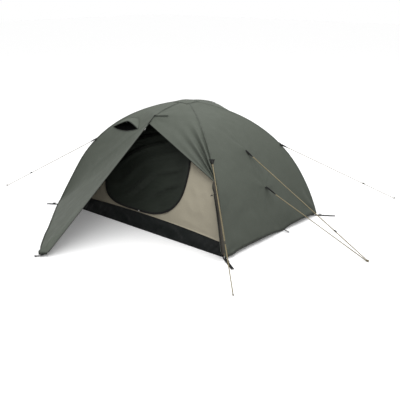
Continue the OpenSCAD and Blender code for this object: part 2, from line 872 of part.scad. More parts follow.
// Tensioner on a line, at a distance up from the ground end
module runner(tip, ground, lift, up) {
    end = line_end(tip, ground, lift);
    color(web_black)
        along(end, tip)
            translate([0, 0, up])
                difference() {
                    union() {
                        cylinder(r = runner_r, h = runner_l);
                        translate([0, -1.5, 0]) cube([2 * runner_r, 3, runner_l]);
                    }
                    translate([0, 0, -1]) cylinder(r = line_r + 0.08, h = runner_l + 2);
                    translate([6.5, 0, runner_l / 2])
                        rotate([90, 0, 0]) cylinder(r = 1.3, h = 8, center = true);
                }
}
runner_up = 420;
side_runner_up = 330;
module runner_front_left() runner(guy_tip(0), guy_ground[0], line_lift, runner_up);
module runner_front_right() runner(guy_tip(1), guy_ground[1], line_lift, runner_up);
module runner_rear_right() runner(guy_tip(2), guy_ground[2], line_lift, runner_up);
module runner_rear_left() runner(guy_tip(3), guy_ground[3], line_lift, runner_up);
module runner_side() runner(side_tip(0), side_peg, side_line_lift[0], side_runner_up);

loop_w = 14;
loop_t = 1.6;
loop_out = 48;
// Heights of a hem loop's two ends
loop_z = [20, 4];
module hem_loop(from, to) {
    color(web_black)
        along(from, to) translate([-loop_t / 2, -loop_w / 2, 0]) cube([loop_t, loop_w, norm(to - from)]);
}
// Webbing loops at the middle of three hems
module hem_loops() {
    side = rail(hem_a, 1, 1)[0] + 4;
    rear = rear_hem[1] + 5;
    hem_loop([side, 140, loop_z[0]], [side + loop_out, 150, loop_z[1]]);
    hem_loop([-side, 0, loop_z[0]], [-side - loop_out, 0, loop_z[1]]);
    hem_loop([0, rear, loop_z[0]], [0, rear + loop_out, loop_z[1]]);
}
// From the foot of the flap's straight edge, and clear of the peg's head when the flap swings up
flap_loop_root = [-22, -18, -12];
flap_loop_end = [22, 22, 10];
module flap_peg_loop() {
    hem_loop(zip_foot + flap_loop_root, vestibule_peg + flap_loop_end);
}

peg_r = 3;
peg_lean = 14;
peg_up = 18;
peg_hook = 14;
// Round peg, leaning away from the tent, with a hooked head
module peg(at, heading) {
    color(steel)
        translate(at)
            rotate([0, 0, heading])
                rotate([0, peg_lean, 0]) {
                    translate([0, 0, -peg_l]) cylinder(r = peg_r, h = peg_l + peg_up);
                    translate([0, 0, peg_up])
                        rotate([0, 90, 0]) cylinder(r = peg_r, h = peg_hook, center = true);
                }
}
module ground_pegs() {
    for (g = [for (k = guy_ground) k, side_peg, vestibule_peg]) peg(g, atan2(g[1], g[0]));
}

// ---- Assembly ----

pole_a_section(1);  // pole_a_section_1
pole_a_section(2);  // pole_a_section_2
pole_a_section(3);  // pole_a_section_3
pole_a_section(4);  // pole_a_section_4
pole_a_section(5);  // pole_a_section_5
pole_a_section(6);  // pole_a_section_6
pole_a_section(7);  // pole_a_section_7
pole_a_section(8);  // pole_a_section_8
pole_b_section(1);  // pole_b_section_1
pole_b_section(2);  // pole_b_section_2
pole_b_section(3);  // pole_b_section_3
pole_b_section(4);  // pole_b_section_4
pole_b_section(5);  // pole_b_section_5
pole_b_section(6);  // pole_b_section_6
pole_b_section(7);  // pole_b_section_7
pole_b_section(8);  // pole_b_section_8
ridge_pole_front();
ridge_pole_rear();
pole_ferrules();
shock_cords();
pole_tips();
crown_hub();
inner_clips();
corner_straps();
corner_eyelets();
corner_buckles();
fly_right_panel();
fly_left_panel();
fly_rear_panel();
fly_front_right_canopy();
fly_front_left_canopy();
fly_crown_patch();
vestibule_flap();
rolled_door();
tieback_loop();
tieback_toggle();
vent_mesh();
vent_hood();
vent_strut();
fly_zip_tape();
fly_zip_slider();
fly_zip_pull();
inner_right_wall();
inner_left_wall();
inner_rear_wall();
inner_front_wall();
inner_door();
inner_zip_slider();
tub_floor();
tub_wall();
guy_tabs();
guy_lines();
runner_front_left();
runner_front_right();
runner_rear_right();
runner_rear_left();
runner_side();
hem_loops();
flap_peg_loop();
ground_pegs();
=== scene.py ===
"""Looks for the dome tent: cloth, webbing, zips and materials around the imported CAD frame."""

import json
import math

import bmesh
import bpy
import numpy as np
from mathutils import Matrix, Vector
from mathutils.bvhtree import BVHTree


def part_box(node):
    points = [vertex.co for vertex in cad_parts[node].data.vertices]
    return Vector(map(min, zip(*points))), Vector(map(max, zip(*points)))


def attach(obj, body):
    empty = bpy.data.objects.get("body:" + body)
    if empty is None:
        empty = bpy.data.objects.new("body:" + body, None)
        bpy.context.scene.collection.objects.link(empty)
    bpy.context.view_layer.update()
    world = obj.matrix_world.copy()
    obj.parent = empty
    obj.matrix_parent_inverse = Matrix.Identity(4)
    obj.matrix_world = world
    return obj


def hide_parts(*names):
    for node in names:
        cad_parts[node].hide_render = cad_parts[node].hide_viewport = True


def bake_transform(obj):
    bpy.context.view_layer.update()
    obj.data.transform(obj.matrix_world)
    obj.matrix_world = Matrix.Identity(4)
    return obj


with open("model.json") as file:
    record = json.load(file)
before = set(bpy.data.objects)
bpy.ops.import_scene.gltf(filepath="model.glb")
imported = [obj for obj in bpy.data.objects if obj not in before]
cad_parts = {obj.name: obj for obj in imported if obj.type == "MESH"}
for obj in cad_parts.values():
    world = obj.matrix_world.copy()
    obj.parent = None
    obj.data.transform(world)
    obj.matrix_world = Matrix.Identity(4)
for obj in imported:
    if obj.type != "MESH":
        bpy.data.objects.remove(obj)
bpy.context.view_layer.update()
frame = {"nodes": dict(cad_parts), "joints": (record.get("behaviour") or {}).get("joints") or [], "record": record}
RECORD = frame["record"]
NODES = frame["nodes"]
JOINTS = {j["name"]: j for j in frame["joints"]}

# ---- the frame's driving sizes ----


def low(node):
    return np.array(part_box(node)[0], float)


def high(node):
    return np.array(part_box(node)[1], float)


def unit(v):
    v = np.asarray(v, float)
    return v / np.maximum(np.linalg.norm(v, axis=-1, keepdims=True), 1e-12)


def mix(a, b, t):
    return np.asarray(a, float) + (np.asarray(b, float) - np.asarray(a, float)) * t


def shares(count):
    return np.linspace(0, 1, count)


def turns(count):
    """Angles evenly spaced round a circle."""
    return np.linspace(0, TURN, count, endpoint=False)


def smooth(a, b, x):
    t = np.clip((x - a) / (b - a), 0, 1)
    return t * t * (3 - 2 * t)


TURN = 2 * math.pi
CORNERS = [(-1, -1), (1, -1), (1, 1), (-1, 1)]

TUBE_R = (high("ridge_pole_front") - low("ridge_pole_front"))[0] / 2
FLOOR = high("tub_floor")
HEADING = math.atan2(FLOOR[1], FLOOR[0])
ALONG = np.array([math.cos(HEADING), math.sin(HEADING)])

# The long poles are circular arcs: their radius follows from the crown and the feet
POLE_CROWN = high("pole_a_section_4")[2] - TUBE_R
FOOT = low("pole_a_section_1")
FOOT_REACH = abs(FOOT[0]) / ALONG[0] - TUBE_R
POLE_DROP = POLE_CROWN - FOOT[2]
POLE_R = (FOOT_REACH**2 + POLE_DROP**2) / (2 * POLE_DROP)
CROSS_STEP = high("pole_b_section_4")[2] - high("pole_a_section_4")[2]
CENTRE_Z = POLE_CROWN - POLE_R + CROSS_STEP / 2

# The ridge pole is a flatter arc over the crossing
RIDGE_CROWN = high("ridge_pole_front")[2] - TUBE_R
RIDGE_REACH = -low("ridge_pole_front")[1]
RIDGE_DROP = RIDGE_CROWN - low("ridge_pole_front")[2] - TUBE_R
RIDGE_R = (RIDGE_REACH**2 + RIDGE_DROP**2) / (2 * RIDGE_DROP)

STANDOFF = 0.014  # fly seams outside the poles
RIDGE_STANDOFF = 0.013
SEAM_R = POLE_R + STANDOFF
CROWN_BUMP = 0.019
BUMP_DEG = 12.0
HEM_DEG = 80.3
FLARE_FROM = 60.0
FLARE = 0.026
LEFT_PULL = abs(low("vestibule_flap")[0]) / ALONG[0] - high("fly_right_panel")[0] / ALONG[0]
INNER_R = POLE_R - 0.033
TIE_DEG = 52.9

BROW = np.array(JOINTS["vestibule_flap_swing"]["pos_m"])
HINGE = unit(JOINTS["vestibule_flap_swing"]["axis"])
ZIP_DIR = unit(JOINTS["fly_zip_slide"]["axis"])
ZIP_FOOT_Z = 0.030
ZIP_FOOT = BROW + ZIP_DIR * (BROW[2] - ZIP_FOOT_Z) / -ZIP_DIR[2]
REAR_HEM = np.array([0.0, high("fly_rear_panel")[1], 0.027])
TUB_TOP = high("tub_wall")[2]


def on_arc(r, deg, sx, sy):
    """A point at radius r over a pole, an angle down from the crown; sx and sy pick the leg."""
    a = math.radians(deg)
    x, y = r * math.sin(a) * ALONG
    return np.array([sx * x, sy * y, CENTRE_Z + r * math.cos(a)])


def seam(deg, sx, sy):
    """A point on a fly seam, which bulges over the crossing and flares out at the hem."""
    pull = FLARE + (LEFT_PULL if sx < 0 and sy < 0 else 0.0)
    flare = pull * (max(0.0, deg - FLARE_FROM) / (HEM_DEG - FLARE_FROM)) ** 2
    return on_arc(SEAM_R + CROWN_BUMP * math.exp(-((deg / BUMP_DEG) ** 2)) + flare, deg, sx, sy)


def ridge_line(y):
    """A point of the fly over the ridge pole."""
    r = RIDGE_R + RIDGE_STANDOFF
    return np.array([0, y, RIDGE_CROWN - RIDGE_R + math.sqrt(r * r - y * y)])


def spine(s, legs, sy):
    """A point at share s along the ridge and then along straight legs."""
    at = lengths(legs)
    along = s * (abs(BROW[1]) + at[-1])
    rest = along - abs(BROW[1])
    if rest <= 0:
        return ridge_line(sy * along)
    return np.array([np.interp(rest, at, np.array(legs)[:, k]) for k in range(3)])


LEFT_CORNER = seam(HEM_DEG, -1, -1)
ZIP_TOP = mix(BROW, ZIP_FOOT, 0.06)
TIE_POINT = seam(TIE_DEG, 1, -1)


def lengths(g, axis=0):
    """Distance from the start of a path, or of each row or column of a grid."""
    step = np.linalg.norm(np.diff(g, axis=axis), axis=-1)
    return np.insert(step.cumsum(axis), 0, 0, axis)


def resample(path, count):
    """The same path with evenly spaced points."""
    path = np.asarray(path, float)
    d = lengths(path)
    at = np.linspace(0, d[-1], count)
    return np.stack([np.interp(at, d, path[:, k]) for k in range(3)], -1)


# ---- cloth surfaces ----

MIDDLE = np.array([0, 0, 0.2])  # a point inside the tent

def waves(p, size, seed, count=28):
    """A smooth random field over points p, about -1 to 1, with features of about size metres."""
    rng = np.random.RandomState(seed)
    w = unit(rng.normal(size=(count, 3))) * (TURN / size) * rng.uniform(0.6, 1.4, (count, 1))
    phase = rng.uniform(0, TURN, count)
    return np.cos(np.asarray(p) @ w.T + phase).sum(-1) * math.sqrt(2 / count) * 0.6


def normals(g):
    n = np.cross(np.gradient(g, axis=0), np.gradient(g, axis=1))
    return unit(n)


def puff(g, amount):
    """Moves a grid along its normals, outwards from a point inside the tent."""
    n = normals(g)
    flip = np.sign(((g - MIDDLE) * n).sum(-1, keepdims=True))
    return g + n * flip * np.asarray(amount)[..., None]


def edge_fade(g, width=0.06, sides="uvUV"):
    """1 in the middle of a grid and 0 at the named borders: u and U rows, v and V columns."""
    across, down = lengths(g, 1), lengths(g)
    away = {"v": across, "V": across[:, -1:] - across, "u": down, "U": down[-1:] - down}
    return np.minimum.reduce([smooth(0, width, away[side]) for side in sides])


def relief(g, seed, size=0.3, depth=0.0022, fine_size=0.1):
    """Broad and fine unevenness of stretched cloth."""
    return depth * waves(g, size, seed) + 0.0008 * waves(g, fine_size, seed + 1)


def creases(g, at, count, reach, depth, seed):
    """Tension folds that radiate from a loaded point and die away over reach."""
    rng = np.random.RandomState(seed)
    v = g - np.array(at)
    d = np.linalg.norm(v, axis=-1)
    centre = unit(g.mean((0, 1)) - np.array(at))
    side = unit(np.cross(centre, unit(np.array(at) - MIDDLE)))
    angle = np.arctan2(v @ side, v @ centre)
    bend = angle + 0.25 * waves(g, 0.5, seed + 1)
    fold = np.cos(count * bend + rng.uniform(0, 6))
    fold = np.sign(fold) * np.abs(fold) ** 0.8
    return depth * fold * np.exp(-d / reach) * smooth(0, 0.05, d)


def build(name, verts, faces, mats, uvs=None):
    """A smooth-shaded mesh object."""
    mesh = bpy.data.meshes.new(name)
    mesh.from_pydata([tuple(v) for v in verts], [], [tuple(f) for f in faces])
    if uvs is not None:
        layer = mesh.uv_layers.new(name="metres")
        loops = np.zeros(len(mesh.loops), int)
        mesh.loops.foreach_get("vertex_index", loops)
        layer.data.foreach_set("uv", np.asarray(uvs, np.float32)[loops].ravel())
    for m in mats if isinstance(mats, (list, tuple)) else [mats]:
        mesh.materials.append(m)
    mesh.polygons.foreach_set("use_smooth", [True] * len(mesh.polygons))
    mesh.update()
    obj = bpy.data.objects.new(name, mesh)
    bpy.context.scene.collection.objects.link(obj)
    return obj


def grid_faces(n, m, start=0, close=False):
    cols = m if close else m - 1
    return [
        (start + i * m + j, start + i * m + (j + 1) % m,
         start + (i + 1) * m + (j + 1) % m, start + (i + 1) * m + j)
        for i in range(n - 1) for j in range(cols)
    ]


def grid_uv(g):
    """Mean distance across and down a grid, in metres."""
    return np.stack(np.meshgrid(lengths(g, 1).mean(0), lengths(g).mean(1)), -1).reshape(-1, 2)


def weld(obj, distance=2e-5):
    bm = bmesh.new()
    bm.from_mesh(obj.data)
    bmesh.ops.remove_doubles(bm, verts=bm.verts, dist=distance)
    bmesh.ops.dissolve_degenerate(bm, edges=bm.edges, dist=distance)
    bmesh.ops.recalc_face_normals(bm, faces=bm.faces)
    bm.to_mesh(obj.data)
    bm.free()
    obj.data.polygons.foreach_set("use_smooth", [True] * len(obj.data.polygons))


def face_outwards(obj, inside):
    """Turns the faces so that the outer side of a panel looks away from the tent's middle."""
    mesh = obj.data
    total = sum((p.center - Vector(inside)).normalized().dot(p.normal) * p.area for p in mesh.polygons)
    if total < 0:
        mesh.flip_normals()


def thicken(obj, thick, inside=MIDDLE):
    """Gives a one-layer cloth its thickness, and its second material inside."""
    face_outwards(obj, inside)
    body = obj.modifiers.new("body", "SOLIDIFY")
    body.thickness = thick
    body.offset = 0
    if len(obj.data.materials) > 1:
        body.material_offset = 1
    return obj


def strip_uv(g):
    """Length along the strip in metres, and its width as 0 to 1."""
    across = shares(g.shape[1])
    return np.stack(np.meshgrid(lengths(g[:, 0]), across, indexing="ij"), -1).reshape(-1, 2)


def sheet(name, grids, mats, thick=0.0012, inside=MIDDLE, to_uv=None):
    """One cloth piece over one or more grids that share borders, with a thin body."""
    grids = grids if isinstance(grids, list) else [grids]
    verts, faces, uvs = [], [], []
    for g in grids:
        faces += grid_faces(g.shape[0], g.shape[1], sum(len(v) for v in verts))
        verts.append(g.reshape(-1, 3))
        uvs.append((to_uv or grid_uv)(g))
    obj = build(name, np.concatenate(verts), faces, mats, np.concatenate(uvs))
    weld(obj)
    return thicken(obj, thick, inside)


def sweep(name, path, mats, half_w, half_t, side, sides=10, close=False):
    """A closed flat or round strip along a path; side gives the direction of its width."""
    path = np.asarray(path, float)
    tangent = unit(np.gradient(path, axis=0))
    side = np.broadcast_to(np.asarray(side, float), path.shape)
    across = unit(side - tangent * (side * tangent).sum(-1, keepdims=True))
    up = np.cross(tangent, across)
    half_w = np.broadcast_to(half_w, len(path))[:, None, None]
    half_t = np.broadcast_to(half_t, len(path))[:, None, None]
    q = turns(sides)
    c = np.sign(np.cos(q)) * np.abs(np.cos(q)) ** 0.6
    s = np.sign(np.sin(q)) * np.abs(np.sin(q)) ** 0.6
    rings = path[:, None] + across[:, None] * half_w * c[None, :, None]
    rings = rings + up[:, None] * half_t * s[None, :, None]
    return tube(name, path, rings, mats, q / (TURN), close)


def tube(name, path, rings, mats, across, close=False):
    """Rings joined along a path, with capped or joined ends; across is the rings' second UV."""
    n, sides = rings.shape[:2]
    faces = grid_faces(n, sides, 0, True)
    last = (n - 1) * sides
    if close:
        faces += [(last + j, last + (j + 1) % sides, (j + 1) % sides, j) for j in range(sides)]
    else:
        faces += [tuple(range(sides))[::-1], tuple(last + j for j in range(sides))]
    uv = np.stack([np.repeat(lengths(path), sides), np.tile(across, n)], -1)
    return build(name, rings.reshape(-1, 3), faces, mats, uv)


# ---- materials ----


class Nodes:
    """A short way to add nodes to a node tree."""

    def __init__(self, tree):
        self.tree = tree

    def node(self, kind, inputs=None, **settings):
        n = self.tree.nodes.new(kind)
        for key, value in settings.items():
            setattr(n, key, value)
        for key, value in (inputs or {}).items():
            self.put(n.inputs[key], value)
        return n

    def put(self, socket, value):
        if isinstance(value, bpy.types.NodeSocket):
            self.tree.links.new(value, socket)
        else:
            socket.default_value = value

    def place(self, kind="Object"):
        return self.node("ShaderNodeTexCoord").outputs[kind]

    def noise(self, where, scale, detail=3.0, rough=0.5):
        n = self.node("ShaderNodeTexNoise", {"Vector": where, "Scale": scale, "Detail": detail,
                                             "Roughness": rough})
        return n.outputs["Fac"]

    def axes(self, where):
        return self.node("ShaderNodeSeparateXYZ", {"Vector": where}).outputs

    def ramp(self, value, start, end, first, last):
        """A colour, or a grey, that changes between two values of its input."""
        n = self.node("ShaderNodeValToRGB", {"Fac": value})
        for e, at, tone in zip(n.color_ramp.elements, (start, end), (first, last)):
            e.position = at
            e.color = (*np.broadcast_to(tone, 3), 1)
        return n.outputs["Color"]

    def math(self, op, a, b=0.0):
        n = self.node("ShaderNodeMath", operation=op)
        self.put(n.inputs[0], a)
        self.put(n.inputs[1], b)
        return n.outputs[0]

    def wave(self, value, rate):
        return self.math("SINE", self.math("MULTIPLY", value, rate))

    def mix(self, fac, a, b):
        n = self.node("ShaderNodeMix", data_type="RGBA")
        self.put(n.inputs[0], fac)
        self.put(n.inputs[6], a)
        self.put(n.inputs[7], b)
        return n.outputs[2]

    def bump(self, height, strength, distance, below=None):
        n = self.node("ShaderNodeBump", {"Height": height, "Strength": strength,
                                         "Distance": distance})
        if below is not None:
            self.put(n.inputs["Normal"], below)
        return n.outputs["Normal"]

    def weave(self, where, pitch):
        """Over-and-under threads: two sets of ridges that swap height in a chequer."""
        u, v = (self.wave(axis, math.pi / pitch) for axis in self.axes(where)[:2])
        return self.math("MULTIPLY", u, v)


class Shader(Nodes):
    """A material's tree around its Principled BSDF."""

    def __init__(self, name):
        self.mat = bpy.data.materials.new(name)
        self.mat.use_nodes = True
        super().__init__(self.mat.node_tree)

    def set(self, **values):
        for key, value in values.items():
            self.put(self.tree.nodes["Principled BSDF"].inputs[key.replace("_", " ")], value)


def tint(rgb, factor):
    return tuple(min(1.0, c * factor) for c in rgb)


def cloth_material(name, rgb, rough=0.6, sheen=0.15, pitch=0.0011, contrast=0.10, fold=0.25,
                   coat=0.0, gloss=0.35):
    """Woven cloth: broad and fine tone changes, threads of a pitch in metres, soft folds."""
    s = Shader(name)
    space = s.place()
    broad = s.noise(space, 2.2, 4.0)
    colour = s.ramp(broad, 0.3, 0.7, tint(rgb, 1 - contrast), tint(rgb, 1 + contrast))
    fine = s.noise(space, 160.0, 2.0)
    colour = s.mix(0.22, colour, s.ramp(fine, 0.35, 0.65, tint(rgb, 0.86), tint(rgb, 1.12)))
    threads = s.weave(s.place("UV"), pitch)
    shine = s.math("MULTIPLY", s.math("ADD", threads, 1.0), 0.07)
    colour = s.mix(shine, colour, (*tint(rgb, 1.35), 1))
    height = s.bump(threads, 0.25, 0.0003)
    height = s.bump(s.noise(space, 9.0, 4.0, 0.55), fold, 0.010, height)
    height = s.bump(s.noise(space, 55.0, 3.0), fold * 0.5, 0.0016, height)
    s.set(Base_Color=colour, Roughness=s.ramp(s.noise(space, 14.0), 0.3, 0.7, rough - 0.07, rough + 0.07),
          Normal=height, Sheen_Weight=sheen, Sheen_Roughness=0.4, Coat_Weight=coat,
          Coat_Roughness=0.35, Specular_IOR_Level=gloss)
    return s.mat


def webbing_material(name, rgb, pitch=0.0022):
    s = Shader(name)
    space = s.place()
    x, y, z = s.axes(space)
    rib = s.math("MULTIPLY", s.wave(s.math("ADD", x, y), math.pi / pitch),
                 s.wave(s.math("SUBTRACT", x, s.math("ADD", y, z)), math.pi / pitch))
    s.set(Base_Color=s.ramp(s.noise(space, 60.0), 0.35, 0.75, tint(rgb, 0.8), tint(rgb, 1.9)),
          Roughness=0.7, Normal=s.bump(rib, 0.5, 0.0006), Sheen_Weight=0.03, Specular_IOR_Level=0.2)
    return s.mat


def plastic_material(name, rgb, rough=0.45):
    s = Shader(name)
    space = s.place()
    wear = s.noise(space, 90.0, 4.0)
    s.set(Base_Color=s.ramp(wear, 0.4, 0.85, rgb, tint(rgb, 2.4)),
          Roughness=s.ramp(wear, 0.3, 0.8, rough, rough + 0.2),
          Normal=s.bump(s.noise(space, 900.0, 2.0), 0.2, 0.0003))
    return s.mat


def metal_material(name, rgb, rough):
    s = Shader(name)
    space = s.place()
    wear = s.noise(space, 70.0, 5.0)
    s.set(Base_Color=s.ramp(wear, 0.3, 0.75, tint(rgb, 0.85), tint(rgb, 1.1)), Metallic=1.0,
          Roughness=s.ramp(wear, 0.3, 0.8, rough, rough + 0.18),
          Normal=s.bump(s.noise(space, 700.0, 2.0), 0.15, 0.0002))
    return s.mat


def cord_material(name, rgb, fleck, pitch=0.0035):
    """Braided cord with flecks of a second colour."""
    s = Shader(name)
    x, y, z = s.axes(s.place())
    slant = s.math("ADD", s.math("ADD", x, y), s.math("MULTIPLY", z, 1.7))
    braid = s.wave(slant, math.pi / pitch)
    colour = s.mix(s.math("GREATER_THAN", braid, 0.55), (*rgb, 1), (*fleck, 1))
    s.set(Base_Color=colour, Roughness=0.75, Normal=s.bump(braid, 0.6, 0.0006), Sheen_Weight=0.2)
    return s.mat


def zip_material(name, rgb, pitch=0.0024):
    """Woven tape with the ribs of a coil across it."""
    s = Shader(name)
    ribs = s.wave(s.axes(s.place("UV"))[0], TURN / pitch)
    s.set(Base_Color=s.ramp(s.noise(s.place(), 80.0), 0.3, 0.8, tint(rgb, 0.7), tint(rgb, 1.8)),
          Roughness=0.6, Normal=s.bump(ribs, 0.6, 0.0008), Sheen_Weight=0.02, Specular_IOR_Level=0.15)
    return s.mat


def seam_material(name, rgb, stitch, pitch=0.0045):
    """Folded seam with rows of stitches along it."""
    s = Shader(name)
    along, across = s.axes(s.place("UV"))[:2]
    dash = s.math("GREATER_THAN", s.wave(along, TURN / pitch), -0.2)
    row = s.math("GREATER_THAN", s.wave(across, 8 * math.pi), 0.8)
    thread = s.math("MULTIPLY", dash, row)
    base = s.ramp(s.noise(s.place(), 30.0), 0.3, 0.7, tint(rgb, 0.85), tint(rgb, 1.1))
    s.set(Base_Color=s.mix(thread, base, (*stitch, 1)), Roughness=0.68,
          Normal=s.bump(thread, 0.8, 0.0008), Sheen_Weight=0.03, Specular_IOR_Level=0.2)
    return s.mat


FLY_RGB = (0.097, 0.109, 0.090)
# Inside face of the fly: painted shade, far darker than the outside of the same cloth, so the tent's inside looks
# shaded
FLY_INSIDE_SHADE_RGB = (0.020, 0.024, 0.020)
BEIGE_RGB = (0.45, 0.41, 0.315)
# Inner door: one opaque sheet; its dark colour is partly the black mesh and partly painted shade of the tent's
# inside seen through it
DOOR_MESH_SHADE_RGB = (0.021, 0.026, 0.020)
TUB_RGB = (0.004, 0.006, 0.0055)
BLACK_RGB = (0.007, 0.007, 0.007)
LINE_RGB = (0.30, 0.245, 0.13)
# Rolled half of the door: fly cloth painted darker, as painted shade in the folds of the bundle
ROLL_SHADE_RGB = (0.050, 0.045, 0.036)

FLY = cloth_material("fly_cloth", FLY_RGB, rough=0.68, sheen=0.03, gloss=0.2)
FLY_INSIDE_SHADE = cloth_material("fly_cloth_inside_painted_shade", FLY_INSIDE_SHADE_RGB, rough=0.45, coat=0.15)
INNER = cloth_material("inner_cloth", BEIGE_RGB, rough=0.8, sheen=0.1, contrast=0.05, fold=0.35)
DOOR = cloth_material("door_mesh_and_painted_shade", DOOR_MESH_SHADE_RGB, rough=0.65, sheen=0.05, pitch=0.0016, contrast=0.25,
                      fold=0.4, gloss=0.2)
TUB = cloth_material("tub_cloth", TUB_RGB, rough=0.45, sheen=0.0, contrast=0.3, coat=0.03,
                     fold=0.5, gloss=0.15)
# Vent mesh: a near-black sheet laid on the cloth in place of an opening; its black is partly the mesh and partly
# painted shade of the dark vent
MESH = cloth_material("vent_mesh", (0.0015, 0.0015, 0.0015), rough=0.9, sheen=0.0, pitch=0.0016,
                      contrast=0.3, gloss=0.03)
ROLL = cloth_material("rolled_cloth_painted_shade", ROLL_SHADE_RGB, rough=0.6, contrast=0.35, fold=0.5)
WEB = webbing_material("black_webbing", BLACK_RGB)
TAPE = zip_material("zip_tape", BLACK_RGB)
SEAM = seam_material("fly_seam", FLY_RGB, tint(FLY_RGB, 0.75))
HEM = seam_material("hem_binding", tint(FLY_RGB, 0.62), tint(FLY_RGB, 0.3))
PLASTIC = plastic_material("black_plastic", (0.014, 0.014, 0.014))
TUBE = metal_material("pole_tube", (0.30, 0.23, 0.16), 0.3)
METAL = metal_material("bare_metal", (0.66, 0.66, 0.66), 0.28)
LINE = cord_material("guy_line", LINE_RGB, (0.16, 0.13, 0.07))
CORD = cord_material("shock_cord", (0.7, 0.7, 0.7), (0.05, 0.05, 0.05), 0.006)
PULL = cord_material("zip_pull", (0.06, 0.06, 0.05), (0.16, 0.14, 0.08))

# Panels take the fly cloth outside and the painted shade of the inside face within
SHELL = [FLY, FLY_INSIDE_SHADE]

SLOT_MATERIALS = {
    "pole_tube": TUBE, "bare_metal": METAL, "shock_cord": CORD, "black_plastic": PLASTIC,
    "black_webbing": WEB, "guy_line": LINE, "zip_pull": PULL, "fly_cloth": FLY,
    "inner_cloth": INNER, "dark_mesh": DOOR, "groundsheet": TUB,
}


def finish_cad_nodes():
    """Every CAD node that stays visible takes its slot's material."""
    for part in RECORD["subparts"]:
        obj = NODES[part["node"]]
        obj.data.materials.clear()
        obj.data.materials.append(SLOT_MATERIALS[part["material_slot"]])


SLOT_OF = {material.name: slot for slot, material in SLOT_MATERIALS.items()}
SLOT_OF.update({material.name: "fly_cloth" for material in (SEAM, HEM, ROLL)})
SLOT_OF.update({TAPE.name: "black_webbing", MESH.name: "dark_mesh"})


def stand_for(obj, *nodes, body="tent", slot=None):
    """Puts a piece on a body and hides the CAD nodes that it replaces."""
    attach(obj, body)
    if nodes:
        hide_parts(*nodes)


# ---- fly ----

ROWS = 96
SAG = 0.012  # of a side or rear panel, in its middle
HEM_RISE = 0.016  # of a hem between its pegged points
HEM_HALF = 0.0022  # half thickness of the folded hems


def side_grid(sx):
    """Panel between the two seams of one side: nearly straight across, sagging a little."""
    cols = 72
    t = shares(cols)
    g = np.zeros((ROWS, cols, 3))
    loop = 0.5 + 0.1 * (sx > 0)  # where along the hem its peg loop pulls it down
    for i, deg in enumerate(np.linspace(0.4, HEM_DEG, ROWS)):
        g[i] = mix(seam(deg, sx, -1), seam(deg, sx, 1), t[:, None])
        sag = SAG * 4 * t * (1 - t) * smooth(8, 40, deg)
        g[i, :, 0] -= sx * sag * math.sin(math.radians(deg))
        g[i, :, 2] -= sag * math.cos(math.radians(deg))
        scallop = np.where(t < loop, np.sin(math.pi * t / loop), np.sin(math.pi * (t - loop) / (1 - loop)))
        g[i, :, 2] += HEM_RISE * scallop * smooth(HEM_DEG - 12, HEM_DEG, deg)
        g[i, :, 2] -= 0.012 * np.exp(-(((t - loop) / 0.06) ** 2)) * smooth(HEM_DEG - 5, HEM_DEG, deg)
    fade = edge_fade(g, 0.05, "vV")
    amount = 0.0022 * waves(g * [1, 1, 0.5], 0.30, 11 + sx) + 0.0008 * waves(g, 0.09, 21 + sx)
    corners = [seam(HEM_DEG, sx, sy) for sy in (-1, 1)]
    for corner in corners:
        amount += creases(g, corner, 11, 0.26, 0.010, 31 + sx)
    amount += creases(g, mix(*corners, loop), 7, 0.10, 0.003, 33)
    if sx > 0:
        for at in side_tab_points():
            d = np.linalg.norm(g - at, axis=-1)
            amount += 0.010 * np.exp(-((d / 0.09) ** 2)) + creases(g, at, 6, 0.16, 0.0045, 41)
    return puff(g, amount * fade)


def islands(node):
    """The separate solids of a CAD node, as arrays of corner points."""
    mesh = NODES[node].data
    co = np.array([v.co for v in mesh.vertices], float)
    key = np.round(co, 5)
    _, same = np.unique(key, axis=0, return_inverse=True)
    same = same.ravel()
    group = np.arange(same.max() + 1)

    def root(i):
        while group[i] != i:
            i = group[i]
        return i

    for p in mesh.polygons:
        ids = [same[v] for v in p.vertices]
        for other in ids[1:]:
            group[root(ids[0])] = root(other)
    labels = np.array([root(s) for s in same])
    return [co[labels == k] for k in sorted(set(labels), key=lambda k: (co[labels == k][:, 0].min()))]


def side_tab_points():
    """Where the two tabs of the right side panel are sewn on."""
    found = [t for t in TABS if t[:, 0].min() > 0.5 and abs(t[:, 1]).max() < 0.2]
    return [t[np.argmin(t[:, 0])] * [1, 0, 1] + [0, t[:, 1].mean(), 0] for t in found]


def rear_grid():
    legs = [BROW * [1, -1, 1], REAR_HEM]
    half = 44
    t = shares(half)[:, None]
    rows = []
    for s in np.linspace(0.005, 1, ROWS):
        c = spine(s, legs, 1)
        w = mix(seam(s * HEM_DEG, -1, 1), c, t)
        e = mix(c, seam(s * HEM_DEG, 1, 1), t)
        row = np.concatenate([w, e[1:]])
        row[:, 2] += HEM_RISE * np.abs(np.sin(np.linspace(0, TURN, len(row)))) * smooth(0.88, 1, s)
        rows.append(row)
    g = np.array(rows)
    k = g.shape[1] // 2
    # the middle seam is a soft ridge and not a sharp crease
    for _ in range(3):
        g[:, k - 3:k + 4] = (g[:, k - 4:k + 3] + 2 * g[:, k - 3:k + 4] + g[:, k - 2:k + 5]) / 4
    x = np.abs(np.linspace(-1, 1, g.shape[1]))
    belly = -SAG * np.sin(math.pi * x)[None] * smooth(0.15, 0.6, shares(ROWS))[:, None]
    amount = belly + relief(g, 51)
    for corner in (seam(HEM_DEG, -1, 1), seam(HEM_DEG, 1, 1), REAR_HEM):
        amount += creases(g, corner, 10, 0.2, 0.005, 53)
    amount += creases(g, legs[0], 9, 0.16, 0.004, 57)
    return puff(g, amount * edge_fade(g, 0.05, "vV"))


PLEAT_DEPTH = 0.031  # of the folds towards the tied-back half


